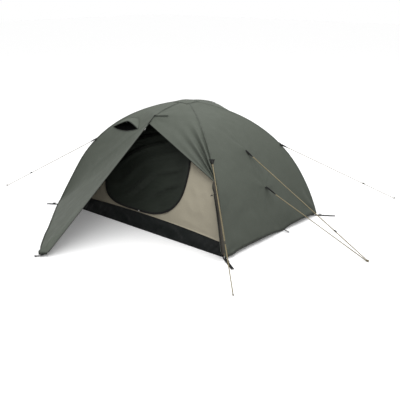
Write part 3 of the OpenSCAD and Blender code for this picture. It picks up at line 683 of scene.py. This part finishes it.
def right_canopy_grid():
    """Front cloth on the right, gathered where the rolled half is tied to the pole."""
    legs = [BROW, ZIP_TOP, TIE_POINT]
    cols = 64
    t = shares(cols)
    s_all = np.linspace(0.005, 1, ROWS)
    g = np.array([mix(seam(s * TIE_DEG, 1, -1), spine(s, legs, -1), t[:, None]) for s in s_all])
    pull = smooth(0.30, 0.92, s_all)[:, None] * (1 - smooth(0.985, 1.0, s_all))[:, None]
    width = np.linalg.norm(g[:, 0] - g[:, -1], axis=1)[:, None]
    near = np.exp(-(t[None] / 0.55) ** 2)
    pleats = np.cos(TURN * (3.6 * t[None] ** 0.75) + 0.5) * near
    amount = PLEAT_DEPTH * pull * np.minimum(1, width / 0.12) * pleats
    amount += relief(g, 61, 0.25, 0.0020, 0.08) + creases(g, BROW, 8, 0.12, 0.003, 63)
    amount -= 0.010 * np.sin(math.pi * t)[None] * smooth(0.1, 0.5, s_all)[:, None]
    return puff(g, amount * edge_fade(g, 0.02, "vV"))


def rounded(a, c, b, cols_a, cols_b, reach=0.22):
    """Points from a through c to b with the corner at c rounded off."""
    la, lb = np.linalg.norm(c - a), np.linalg.norm(b - c)
    w = min(reach, 0.85 * la, 0.85 * lb)
    p, q = mix(c, a, w / max(la, 1e-9)), mix(c, b, w / max(lb, 1e-9))

    def at(d):
        if d < la - w:
            return mix(a, c, d / la)
        if d > la + w:
            return mix(c, b, (d - la) / lb)
        u = (d - la + w) / max(2 * w, 1e-9)
        return (1 - u) ** 2 * p + 2 * u * (1 - u) * c + u * u * q

    first = [at(d) for d in np.linspace(0, la, cols_a)]
    second = [at(d) for d in np.linspace(la, la + lb, cols_b)]
    return np.array(first), np.array(second)


FLAP_TIP = ZIP_FOOT + np.array([-0.065, -0.040, -0.004])
FLAP_SAG = 0.020


def left_canopy(s, t):
    """From the front left seam at t 0 to the ridge and the brow line at t 1."""
    return mix(seam(s * HEM_DEG, -1, -1), spine(s, [BROW, LEFT_CORNER], -1), t)


def left_sheet_grids():
    """Front cloth on the left in one sheet: canopy to the brow line, then the pegged flap."""
    s_brow = abs(BROW[1]) / (abs(BROW[1]) + np.linalg.norm(LEFT_CORNER - BROW))
    upper = np.linspace(0.005, s_brow, 26)
    lower = np.linspace(s_brow, 1, 96)
    cols_a, cols_b = 34, 62
    t = shares(cols_a)[:, None]
    top = np.array([left_canopy(s, t) for s in upper])
    rows = []
    for s in lower:
        zip_point = mix(BROW, ZIP_FOOT, (s - s_brow) / (1 - s_brow))
        rows.append(rounded(left_canopy(s, 0), left_canopy(s, 1), zip_point, cols_a, cols_b))
    canopy, flap = (np.array(half) for half in zip(*rows))
    canopy = np.concatenate([top[:-1], canopy])
    # the hem runs straight to a short band at the peg, and is a little slack between its ends
    v = shares(cols_b)[None]
    u = shares(len(lower))[:, None]
    band = 0.92
    hem = np.array([mix(LEFT_CORNER, FLAP_TIP, k / band) if k < band
                    else mix(FLAP_TIP, ZIP_FOOT, (k - band) / (1 - band)) for k in v[0]])
    flap += (hem - flap[-1])[None] * (u**5)[..., None]
    flap[..., 2] += 0.012 * np.sin(math.pi * np.clip(v / band, 0, 1)) * u**5
    # cloth relief
    canopy = puff(canopy, relief(canopy, 71, 0.28) * edge_fade(canopy, 0.05, "vV"))
    n = normals(flap)
    n *= np.sign((n * HINGE_OUT).sum(-1, keepdims=True))
    amount = relief(flap, 73, 0.32, 0.0026)
    amount += creases(flap, ZIP_FOOT, 9, 0.28, 0.008, 75) + creases(flap, LEFT_CORNER, 10, 0.2, 0.006, 76)
    amount += creases(flap, BROW, 7, 0.2, 0.004, 77)
    amount -= FLAP_SAG * np.sin(math.pi * v) * np.sin(math.pi * u)
    flap = flap + n * (amount * edge_fade(flap, 0.05, "vV"))[..., None]
    return [canopy, flap]


HINGE_OUT = unit(np.cross(LEFT_CORNER - BROW, ZIP_FOOT - BROW))
FLAP_ACROSS = unit(np.cross(HINGE_OUT, HINGE))
if FLAP_ACROSS @ (ZIP_FOOT - BROW) < 0:
    FLAP_ACROSS = -FLAP_ACROSS


PATCH_HALF = high("fly_crown_patch")[1] - 0.006
PATCH_GAP = 0.0026


def seam_strip(name, edge, one_side, other_side, width=0.009, count=90):
    """A folded seam that straddles the border of two panels, from the crown patch to the hem."""
    clear = np.linalg.norm(edge[:, :2], axis=1) > PATCH_HALF / math.cos(HEADING)
    path, near, far = (resample(p[clear], count) for p in (edge, one_side, other_side))
    d1, d2 = unit(near - path), unit(far - path)
    out = unit(path - np.array([0, 0, CENTRE_Z]))
    offsets = [(-1.0, 0.0007), (-0.55, 0.0017), (0.0, 0.0025), (0.55, 0.0017), (1.0, 0.0007)]
    g = np.stack([path + (d1 if k < 0 else d2) * abs(k) * width + out * h for k, h in offsets], 1)
    stand_for(sheet(name, g, SEAM, 0.0012, to_uv=strip_uv))


def make_fly():
    right = side_grid(1)
    left = side_grid(-1)
    rear = rear_grid()
    right_front = right_canopy_grid()
    left_front = left_sheet_grids()

    for name, panel, node in (("right", right, "fly_right_panel"), ("left", left, "fly_left_panel"),
                              ("rear", rear, "fly_rear_panel"),
                              ("front_right", right_front, "fly_front_right_canopy")):
        stand_for(sheet(f"fly_{name}_cloth", panel, SHELL), node)
    front = sheet("fly_front_left_cloth", left_front, SHELL)
    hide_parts("fly_front_left_canopy", "vestibule_flap")
    blend_flap(front)

    # seams along the poles and the ridge, each from under the edge of the crown patch
    for name, side, sx, beside in (("right", right, 1, rear[:, -2]), ("left", left, -1, rear[:, 1])):
        edge = side[:, 0]
        seam_strip(f"seam_front_{name}", edge, side[:, 1], edge + [-sx * 0.01, -0.004, 0])
        seam_strip(f"seam_rear_{name}", side[:, -1], side[:, -2], beside)
    for name, sy in (("seam_ridge_front", 1), ("seam_ridge_rear", -1)):
        ridge = np.array([ridge_line(sy * y) for y in np.linspace(BROW[1], -PATCH_HALF, 40)])
        stand_for(sweep(name, ridge + [0, 0, 0.0022], SEAM, 0.008, 0.0012, (1, 0, 0)))
    middle = rear[:, rear.shape[1] // 2]
    middle = middle[middle[:, 1] > -BROW[1] - 0.01] + [0, 0.0025, 0.0005]
    stand_for(sweep("seam_rear_middle", resample(middle, 50), SEAM, 0.007, 0.0011, (1, 0, 0)))
    # bindings along free edges
    for name, panel in (("right", right), ("left", left), ("rear", rear)):
        stand_for(binding(f"hem_{name}", resample(panel[-1], 80), 0.009))
    edge = right_front[:, -1]
    door_edge = edge[edge[:, 0] > 0.006]
    stand_for(sweep("door_edge_tape", resample(door_edge, 70), TAPE, 0.008, 0.0018, HINGE_OUT))
    flap_edges(left_front[1])
    brow_details(right_front)


def binding(name, path, height):
    """Upright folded strip along a hem."""
    side = np.cross(unit(np.gradient(path, axis=0)), (0, 0, 1))
    return sweep(name, path, HEM, HEM_HALF, height, side)


def blend_flap(obj):
    """Bakes a piece's placement into its mesh points."""
    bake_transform(obj)


def flap_edges(flap):
    blend_flap(binding("hem_flap", resample(flap[-1], 90), 0.010))
    edge = resample(flap[:, -1], 90)[3:-2] - HINGE_OUT * 0.001 + FLAP_ACROSS * 0.002
    blend_flap(sweep("zip_guard_flap", edge, HEM, 0.009, 0.0018, FLAP_ACROSS))


def brow_details(right_front):
    """Short dark binding that runs right from the brow, and the guard over the top of the zip."""
    whole = abs(BROW[1]) + lengths([BROW, ZIP_TOP, TIE_POINT])[-1]
    row = int(round(abs(BROW[1]) / whole * (ROWS - 1)))
    path = resample(right_front[row, ::-1][:22], 24) + [0, -0.002, 0.003]
    stand_for(sweep("brow_binding", path, WEB, 0.006, 0.0015, (0, 1, 0)))
    edge = np.array([mix(BROW, ZIP_TOP, t) for t in np.linspace(-0.1, 1.15, 20)]) + HINGE_OUT * 0.003
    stand_for(sweep("brow_zip_guard", edge, WEB, 0.006, 0.0015, unit(np.cross(HINGE_OUT, ZIP_DIR))))


def make_crown_patch():
    """Square of cloth that lies on the panels where the poles cross, with a row of stitches."""
    size = (high("fly_crown_patch") - low("fly_crown_patch"))[0] / 2
    tops = [cloth_tree(f"fly_{name}_cloth")
            for name in ("right", "left", "rear", "front_right", "front_left")]
    n = 45
    x, y = np.meshgrid(np.linspace(-size, size, n), np.linspace(-size, size, n))

    def height(x, y):
        hits = [t.ray_cast(Vector((x, y, 2.0)), Vector((0, 0, -1)))[0] for t in tops]
        return max((h[2] for h in hits if h is not None), default=0.0)

    z = np.vectorize(height)(x, y)
    z[z == 0] = z.max()
    smoothed = z.copy()
    smoothed[1:-1, 1:-1] = (z[:-2, 1:-1] + z[2:, 1:-1] + z[1:-1, :-2] + z[1:-1, 2:]) / 4
    g = np.stack([x, y, np.maximum(z, smoothed) + PATCH_GAP], -1)
    stand_for(sheet("crown_patch", g, SHELL, 0.0014), "fly_crown_patch")
    inset = slice(2, n - 2)
    ring = np.concatenate([g[2, inset], g[inset, n - 3][1:], g[n - 3, inset][::-1][1:],
                           g[inset, 2][::-1][1:-1]])
    stand_for(sweep("crown_patch_stitching", ring + [0, 0, 0.0006], SEAM, 0.002, 0.0006, (0, 0, 1),
                    close=True))


def cloth_tree(name):
    mesh = bpy.data.objects[name].data
    return BVHTree.FromPolygons([v.co for v in mesh.vertices], [p.vertices for p in mesh.polygons])


def grid(rows, cols, point):
    """Points of a function of two shares: -1 to 1 across and 0 to 1 down."""
    return np.array([[point(u, v) for u in np.linspace(-1, 1, cols)] for v in shares(rows)])


# ---- vent ----


def vent_frame():
    """Two of the vent's own axes: y down the cloth and z out of the tent."""
    x = unit(JOINTS["vent_strut_fold"]["axis"])
    co = np.array([v.co for v in NODES["vent_mesh"].data.vertices], float)
    z = np.linalg.svd(co - co.mean(0))[2][2]
    z = z if z[2] > 0 else -z
    y = np.cross(z, x)
    return y, z


# Shares down and across the left canopy at the vent's right and left ends
VENT_S = (0.335, 0.44)
VENT_T = (1.0, 0.12)
HOOD_UP = (0.070, 0.283)  # how far up the hood's root lies, in the same shares
HOOD_ROOT = 0.45  # width of the root, where the lip's is 1
HOOD_LIFT = 0.074  # height of the lip's arch
HOOD_PEAK = -0.16  # where the arch is highest, from -1 to 1
HOOD_GAP = 0.003  # hood and mesh lie just off the cloth
MESH_GAP = 0.0018


def vent_point(u, v):
    """Canopy point across the vent, u from the right end -1 to the left end 1, v from root to lip."""
    w = u * (HOOD_ROOT + (1 - HOOD_ROOT) * v)
    s = mix(*VENT_S, 0.5 + 0.5 * w) - HOOD_UP[0] * (1 - v)
    t = mix(*VENT_T, 0.5 + 0.5 * w) - HOOD_UP[1] * (1 - v)
    return left_canopy(s, t)


def make_vent():
    y, z = vent_frame()
    cloth = cloth_tree("fly_front_left_cloth")

    def on_cloth(u, v, lift):
        p = vent_point(u, v)
        hit = cloth.ray_cast(Vector(p + z * 0.15), Vector(-z))[0]
        return np.array(hit if hit is not None else p) + z * lift

    def on_hood(u, v):
        side = (u - HOOD_PEAK) / (1 - HOOD_PEAK if u > HOOD_PEAK else 1 + HOOD_PEAK)
        arch = v**1.1 * (1 - abs(side) ** 1.45)
        return on_cloth(u, v, HOOD_GAP) + [0, 0, HOOD_LIFT * arch]

    def on_mesh(u, v):
        swell = 1 - abs(u) ** 2.0
        return on_cloth(u * 0.985, mix(0.35, 1.0 + 0.2 * swell, v), MESH_GAP)

    g = grid(26, 49, on_hood)
    g = puff(g, 0.0012 * waves(g, 0.07, 81) * np.sin(math.pi * shares(len(g)))[:, None])
    stand_for(sheet("vent_hood_cloth", g, SHELL, 0.0016), "vent_hood")
    lip = resample(g[-1], 60)
    stand_for(sweep("vent_hood_lip", lip, HEM, 0.0045, 0.0030, y))
    for name, path in (("root", g[0]), ("left", g[:, -1]), ("right", g[:, 0])):
        path = resample(path, 30)
        side = np.cross(unit(np.gradient(path, axis=0)), z)
        stand_for(sweep(f"vent_hood_{name}_seam", path + z * 0.0008, SEAM, 0.005, 0.0009, side))
    # near-black sheet just off the cloth: partly the mesh, partly painted shade of the dark opening under the hood
    m = grid(14, 49, on_mesh)
    stand_for(sheet("vent_mesh_painted_shade_cloth", m, MESH, 0.001), "vent_mesh")
    sill = resample(m[-1], 60) + z * 0.0012
    stand_for(sweep("vent_sill_seam", sill, HEM, 0.004, 0.0012, y))


# ---- rolled half of the door ----

ROLL_R = 0.0175
ROLL_THINNER = 0.004  # how much thinner the bundle is at the hem
ROLL_OUT = 0.023  # from the seam to the middle of the bundle


def make_rolled_door():
    """The other half of the door: a bundle of folded cloth along the front right pole."""
    off = np.array([-math.sin(HEADING), -math.cos(HEADING), 0])
    steps = 90
    deg = np.linspace(TIE_DEG - 1.2, HEM_DEG - 1.2, steps)
    path = np.array([seam(d, 1, -1) + off * ROLL_OUT for d in deg])
    u = shares(steps)
    tangent = unit(np.gradient(path, axis=0))
    side = unit(np.cross(tangent, off))
    up = np.cross(side, tangent)
    around = 64
    q = turns(around)
    pinch = 1 - 0.22 * np.exp(-(((u - 0.16) / 0.04) ** 2))
    ends = (0.45 + 0.55 * smooth(0, 0.08, u)) * (0.55 + 0.45 * smooth(0, 0.05, 1 - u))
    size = ((ROLL_R - ROLL_THINNER * u) * pinch * ends)[:, None]
    # lengthwise folds that twist a little on the way down
    b = u[:, None]
    lobes = 1 + 0.13 * np.cos(5 * (q + 1.2 * b) + 2.0 * np.sin(5 * b)) \
        + 0.07 * np.cos(9 * q - 3 * b) + 0.05 * np.cos(2 * q + 11 * b)
    wide, tall = (size * lobes * np.cos(q) * 1.12)[..., None], (size * lobes * np.sin(q))[..., None]
    rings = path[:, None] + side[:, None] * wide + up[:, None] * tall
    # the bundle takes a darker cloth than the fly: painted shade of its folds
    stand_for(tube("rolled_door_cloth", path, rings, ROLL, q * 0.02), "rolled_door")
    # the zip tape and a fold of the outer cloth run along the roll
    for name, mat, out, aside, half_w, half_t in (("tape", TAPE, 1.02, -0.45, 0.006, 0.0016),
                                                  ("fold", FLY, 0.9, 0.75, 0.0065, 0.0030)):
        line = (path + up * size * out + side * size * aside)[2:steps - 3]
        stand_for(sweep(f"rolled_door_{name}", resample(line, 60), mat, half_w, half_t, side[10]))


# ---- inner tent ----

TUB_FOLD = 0.016  # depth of the wall's folds at its corners
TUB_DIP = 0.035  # how much lower the bathtub wall is at its corners than in the middle


def rim_z(share):
    """Height of the bathtub wall, share 0 at the middle of a side to 1 at a corner."""
    return TUB_TOP - TUB_DIP * np.clip(np.abs(share), 0, 1) ** 2.2


def reach_at(z):
    """Half length and half width of the inner tent at a height."""
    return ALONG * np.sqrt(INNER_R**2 - (np.asarray(z) - CENTRE_Z) ** 2)[..., None]


RIM_X = reach_at(rim_z(1.0))[0]


def on_front(x, z, sy=-1):
    return np.stack([
        x + 0 * z,
        sy * ALONG[1] * np.sqrt(np.maximum(INNER_R**2 - (z - CENTRE_Z) ** 2, 0)) + 0 * x,
        z + 0 * x,
    ], -1)


DOOR_LOW, DOOR_HIGH = low("inner_door"), high("inner_door")
DOOR_X = (DOOR_LOW[0] + DOOR_HIGH[0]) / 2
DOOR_HALF = (DOOR_HIGH[0] - DOOR_LOW[0]) / 2 + 0.004
DOOR_Z = JOINTS["inner_door_swing"]["pos_m"][2]
DOOR_DOWN = DOOR_Z - DOOR_LOW[2] + 0.010
DOOR_UP = DOOR_HIGH[2] - DOOR_Z + 0.010
DOOR_POWER = 2.4
DOOR_CORNER_POWER = 4.2


def door_power(x, z):
    """The doorway is a rounded outline, squarer at its lower left."""
    return np.where((x < 0) & (z < 0), DOOR_CORNER_POWER, DOOR_POWER)


def door_reach(q, trim=0.0):
    """Distance from the door's middle to its edge, in the direction q."""
    tall = np.where(np.sin(q) < 0, DOOR_DOWN, DOOR_UP) - trim
    wide = DOOR_HALF - trim
    power = door_power(np.cos(q), np.sin(q))
    return ((np.abs(np.cos(q)) / wide) ** power + (np.abs(np.sin(q)) / tall) ** power) ** (-1 / power)


def wall_reach(q):
    """Distance from the door's middle to the edge of the front wall, in the direction q."""
    edge = RIM_X * np.linspace(-1, 1, 81)
    z_side = np.linspace(rim_z(1.0), CENTRE_Z + INNER_R * math.cos(math.radians(3)), 120)
    x_side = ALONG[0] * np.sqrt(INNER_R**2 - (z_side - CENTRE_Z) ** 2)
    x = np.concatenate([edge, x_side, -x_side]) - DOOR_X
    z = np.concatenate([rim_z(edge / RIM_X), z_side, z_side]) - DOOR_Z
    turn = np.arctan2(z, x) % (TURN)
    order = np.argsort(turn)
    return np.interp(q, turn[order], np.hypot(x, z)[order], period=TURN)


def make_inner_front():
    cols, rows = 240, 34
    corners = np.arctan2(rim_z(1.0) - DOOR_Z, np.array([RIM_X, -RIM_X]) - DOOR_X) % (TURN)
    q = np.sort(np.concatenate([turns(cols - 2), corners]))
    inner, outer = door_reach(q), wall_reach(q)
    t = shares(rows)[:, None]
    r = mix(inner, outer, t)
    g = on_front(DOOR_X + r * np.cos(q), DOOR_Z + r * np.sin(q))
    wrinkle = 0.0030 * waves(g, 0.16, 91) + 0.0035 * waves(g * [1.5, 1.5, 0.6], 0.22, 92)
    fade = smooth(0, 0.05, t) * smooth(0, 0.08, 1 - t)
    g[..., 1] += np.abs(wrinkle) * fade + 0.004 * fade
    verts = g.reshape(-1, 3)
    obj = build("inner_front_cloth", verts, grid_faces(rows, cols, 0, True), INNER, verts[:, [0, 2]])
    stand_for(thicken(obj, 0.001), "inner_front_wall")
    # black zip tape round the doorway
    r = door_reach(q, -0.004)
    ring = on_front(DOOR_X + r * np.cos(q), DOOR_Z + r * np.sin(q)) - [0, 0.002, 0]
    radial = unit(ring - on_front(np.array(DOOR_X), np.array(DOOR_Z)))
    zip_ring = sweep("inner_door_zip", ring, TAPE, 0.0085, 0.0022, radial, close=True)
    stand_for(zip_ring)


def make_inner_door():
    rows, cols = 90, 90
    e = np.sin(np.linspace(-math.pi / 2, math.pi / 2, rows)) * 0.999
    z = DOOR_Z - e * np.where(e > 0, DOOR_DOWN, DOOR_UP) * 0.992
    t = np.linspace(-1, 1, cols)
    power = door_power(t[None], -e[:, None])
    w = DOOR_HALF * 0.992 * (1 - np.abs(e)[:, None] ** power) ** (1 / power)
    x = DOOR_X + w * t[None]
    g = on_front(x, np.repeat(z[:, None], cols, 1))
    # slack cloth: long diagonal tension folds from lower right to upper left
    run = (g[..., 0] * 0.45 - g[..., 2] * 0.9)
    across = run + 0.035 * waves(g, 0.5, 95)
    folds = np.sin(across * TURN / 0.115 + 1.4) + 0.45 * np.sin(across * TURN / 0.062 + 0.6)
    strength = 0.55 + 0.45 * waves(g * [1, 1, 1.6], 0.6, 96)
    middle = smooth(0, 0.35, 1 - np.abs(t))[None] * smooth(0, 0.35, 1 - np.abs(e))[:, None]
    g[..., 1] += (0.021 * folds * strength + 0.032) * middle
    # opaque door sheet: its dark colour is partly the mesh and partly painted shade of the inside behind it
    door = sheet("inner_door_cloth", g, DOOR, 0.001)
    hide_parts("inner_door")
    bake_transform(door)


def make_inner_walls():
    top_deg = 2.0
    base_deg = math.degrees(math.acos((TUB_TOP - TUB_DIP - CENTRE_Z) / INNER_R)) - 0.2
    degs = np.linspace(top_deg, base_deg, 60)
    for name, start, end, axis, sign, seed in (("right", (1, -1), (1, 1), 0, 1, 102),
                                               ("left", (-1, -1), (-1, 1), 0, -1, 100),
                                               ("rear", (-1, 1), (1, 1), 1, 1, 103)):
        t = shares(50 if axis == 0 else 60)[:, None]
        g = np.array([mix(on_arc(INNER_R, d, *start), on_arc(INNER_R, d, *end), t) for d in degs])
        g[..., axis] -= sign * (0.006 + 0.004 * waves(g, 0.25, seed)) * edge_fade(g, 0.1)
        stand_for(sheet(f"inner_{name}_cloth", g, INNER, 0.001), f"inner_{name}_wall")


def make_tub():
    """Bathtub: a floor sheet and one wall that runs round it, with slack folds at the corners."""
    foot = high("tub_wall")[:2] - 0.002
    per_side = 90
    rows = 18
    columns = []
    for k, (a, b) in enumerate(zip(CORNERS, CORNERS[1:] + CORNERS[:1])):
        for j in range(per_side):
            c = mix(a, b, j / per_side)
            top = rim_z(c[k % 2])
            columns.append(mix([*(foot * c), 0.002], [*((reach_at(top) + 0.0016) * c), top],
                               shares(rows)[:, None]))
    wall = np.stack(columns, 1)
    n = unit(wall * [0.6, 1, 0])
    near = np.min([np.linalg.norm(wall[..., :2] - foot * c, axis=-1) for c in np.array(CORNERS)], 0)
    high_part = np.sin(np.linspace(0, math.pi, rows))[:, None]
    slope = wall[..., 0] + wall[..., 1] * 0.8 - wall[..., 2] * 1.1
    folds = np.sin(slope * TURN / 0.075 + 1.6 * waves(wall, 0.4, 111))
    amount = (TUB_FOLD * folds * np.exp(-near / 0.34) + 0.005 * waves(wall, 0.2, 112)
              + 0.002 * waves(wall, 0.06, 113)) * high_part
    wall -= n * (amount + 0.004 * high_part)[..., None]
    verts = wall.reshape(-1, 3)
    obj = build("tub_wall_cloth", verts, grid_faces(rows, 4 * per_side, 0, True), TUB, verts[:, [0, 2]])
    stand_for(thicken(obj, 0.0014), "tub_wall")
    rim = resample(np.concatenate([wall[-1], wall[-1][:1]]), 240)[:-1]
    stand_for(sweep("tub_rim_seam", rim, TAPE, 0.005, 0.0014, (0, 0, 1), close=True), slot="groundsheet")
    xs, ys = np.meshgrid(np.linspace(-1, 1, 90), np.linspace(-1, 1, 64))
    g = np.stack([xs * foot[0], ys * foot[1], 0 * xs + 0.0022], -1)
    g[..., 2] += 0.0016 * (1 + waves(g, 0.12, 114)) * edge_fade(g, 0.05)
    stand_for(sheet("tub_floor_cloth", g, TUB, 0.0012, inside=(0, 0, -1)), "tub_floor")


# ---- guy tabs and small webbing ----

TABS = islands("guy_tabs")
GUY_LINES = islands("guy_lines")


def make_tabs():
    """Reinforced cloth tabs: doubled, stitched at the root and pinched at the line."""
    line_ends = np.concatenate([line[np.argsort(line[:, 2])[-6:]].mean(0)[None] for line in GUY_LINES])
    for k, tab in enumerate(TABS):
        points = np.unique(np.round(tab, 5), axis=0)
        line_end = line_ends[np.argmin(np.linalg.norm(line_ends - points.mean(0), axis=1))]
        points = points[np.argsort(np.linalg.norm(points - line_end, axis=1))]
        row = len(points) // 3
        tip, root = points[:row], points[-row:]
        a, b = root.mean(0), tip.mean(0)
        direction = unit(b - a)
        across = np.linalg.svd(root - a)[2][0]
        normal = unit(np.cross(direction, across))
        width = np.ptp(root @ across) / 2
        narrow = np.ptp(tip @ across) / 2

        def on_tab(u, v):
            t = mix(-0.06, 1, v)
            share = max(t, 0)
            half = narrow + (width - narrow) * (1 - share) ** 1.4
            cup = 0.016 * math.cos(math.pi * u) * (1 - share) * share
            return mix(a, b, t) + across * u * half + normal * cup

        stand_for(sheet(f"guy_tab_cloth_{k + 1}", grid(20, 15, on_tab), WEB, 0.0016),
                  *(["guy_tabs"] if k == 0 else []))
        q = turns(20)[:, None]
        ring = b + direction * (0.004 + 0.008 * np.cos(q)) + across * 0.006 * np.sin(q)
        stand_for(sweep(f"guy_tab_loop_{k + 1}", ring, LINE, 0.0014, 0.0014, normal, close=True))


STRAND_R = 0.0022
STRAND_GAP = 0.0030  # from the line's axis to each strand


def make_guy_lines():
    """Each guy line is a cord doubled through its tab, so two strands run side by side."""
    for k, line in enumerate(GUY_LINES):
        centre = line.mean(0)
        axis = np.linalg.svd(line - centre)[2][0]
        axis = axis if axis[2] > 0 else -axis
        along = (line - centre) @ axis
        low_end, high_end = centre + axis * along.min(), centre + axis * along.max()
        side = unit(np.cross(axis, (0, 0, 1)))
        for n, sign in enumerate((-1, 1)):
            share = shares(60)
            gap = STRAND_GAP * (0.75 + 0.25 * np.cos(9 * share + k))
            path = mix(low_end, high_end, share[:, None]) + side * (sign * gap)[:, None]
            cord = sweep(f"guy_line_{k + 1}_{n + 1}", path, LINE, STRAND_R, STRAND_R, side, 8)
            stand_for(cord, *(["guy_lines"] if k + n == 0 else []))
        loop, up = round_peg(low_end, STRAND_GAP, STRAND_R)
        foot = sweep(f"guy_line_foot_{k + 1}", loop, LINE, STRAND_R, STRAND_R, up, 8)
        stand_for(foot)


PEG_PLAY = 0.001  # between a peg and the loop round it


def round_peg(start, gap, half_thick):
    """Path of a loop from a point by a peg, round its shaft and back, and the shaft's direction."""
    shafts = []
    for peg in islands("ground_pegs"):
        foot = peg[peg[:, 2] < peg[:, 2].min() + 0.004]
        up = unit(peg[peg[:, 2] > 0].mean(0) - foot.mean(0))
        centre = foot.mean(0) + up * (start[2] - foot[:, 2].mean()) / up[2]
        shafts.append((np.linalg.norm(centre - start), np.ptp(foot[:, 0]) / 2, centre, up))
    _, peg_r, centre, up = min(shafts, key=lambda s: s[0])
    out = unit(centre - start)
    across = unit(np.cross(up, out))
    q = np.radians(np.linspace(-110, 110, 24))[:, None]
    arc = centre + (peg_r + half_thick + PEG_PLAY) * (out * np.cos(q) + across * np.sin(q))
    return resample(np.concatenate([[start - across * gap], arc, [start + across * gap]]), 40), up


def make_flap_loop():
    """The webbing at the foot of the flap goes round its peg."""
    strip = np.concatenate(islands("flap_peg_loop"))
    end = strip[np.argsort(strip[:, 2])[:4]].mean(0)
    half_w, half_t = 0.0045, 0.0008
    loop, up = round_peg(end, 0.001, half_t)
    obj = sweep("flap_peg_loop_eye", loop, WEB, half_w, half_t, up)
    stand_for(obj, body="vestibule_flap")


# ---- stage, light and camera ----

VIEW_AZIMUTH = 40.86
VIEW_ELEVATION = 18.85
VIEW_DISTANCE = 5.5
VIEW_TARGET = (0.5687, -0.4634, 0.35)
LENS = 57.17
WHITE = (1, 1, 1, 1)


def make_stage():
    half, drop = 30, 0.0008
    floor = build("studio_floor", [(x * half, y * half, -drop) for x, y in CORNERS], [(0, 1, 2, 3)],
                  stage_material())
    floor.visible_diffuse = False


def stage_material():
    s = Shader("studio_floor")
    s.set(Base_Color=(0.95, 0.95, 0.95, 1), Roughness=0.9, Specular_IOR_Level=0.1,
          Emission_Color=WHITE, Emission_Strength=0.15)
    return s.mat


def make_world():
    """White to the camera; as light, bright overhead and dim near and below the horizon."""
    world = bpy.data.worlds.new("studio")
    world.use_nodes = True
    n = Nodes(world.node_tree)
    light = n.node("ShaderNodeMapRange", {"Value": n.axes(n.place("Generated"))[2], "From Min": -0.3,
                                          "From Max": 1.0, "To Min": 0.14, "To Max": 1.15})
    sky = n.tree.nodes["Background"]
    n.put(sky.inputs["Color"], WHITE)
    n.put(sky.inputs["Strength"], light.outputs["Result"])
    seen = n.node("ShaderNodeBackground", {"Color": WHITE, "Strength": 1.0})
    camera = n.node("ShaderNodeLightPath").outputs["Is Camera Ray"]
    pick = n.node("ShaderNodeMixShader", {"Fac": camera})
    for socket, background in ((1, sky), (2, seen)):
        n.put(pick.inputs[socket], background.outputs["Background"])
    n.put(n.tree.nodes["World Output"].inputs["Surface"], pick.outputs["Shader"])
    bpy.context.scene.world = world


def area_light(name, at, aim, power):
    data = bpy.data.lights.new(name, "AREA")
    data.shape = "DISK"
    data.size = 4.0
    data.energy = power
    add_facing(name, data, at, Vector(aim) - Vector(at))


def add_facing(name, data, at, forward):
    """A light or camera at a place, which looks in a direction."""
    obj = bpy.data.objects.new(name, data)
    obj.location = at
    obj.rotation_mode = "QUATERNION"
    obj.rotation_quaternion = forward.to_track_quat("-Z", "Y")
    bpy.context.scene.collection.objects.link(obj)
    return obj


def make_light_and_camera():
    scene = bpy.context.scene
    make_world()
    area_light("key", (4.0, -3.5, 6.0), (0, 0, 0.4), 120)
    area_light("fill", (-4.5, -3.5, 4.0), (0, -0.4, 0.4), 20)
    area_light("top", (0.0, 1.0, 6.5), (0, 0, 0.8), 120)
    scene.view_settings.view_transform = "Standard"
    a, e = math.radians(VIEW_AZIMUTH), math.radians(VIEW_ELEVATION)
    back = Vector((math.sin(a) * math.cos(e), -math.cos(a) * math.cos(e), math.sin(e)))
    data = bpy.data.cameras.new("camera")
    data.sensor_width = 36.0
    data.lens = LENS
    scene.camera = add_facing("camera", data, Vector(VIEW_TARGET) + back * VIEW_DISTANCE, -back)


finish_cad_nodes()
make_fly()
make_crown_patch()
make_vent()
make_rolled_door()
make_inner_front()
make_inner_door()
make_inner_walls()
make_tub()
make_tabs()
make_guy_lines()
make_flap_loop()
make_stage()
make_light_and_camera()
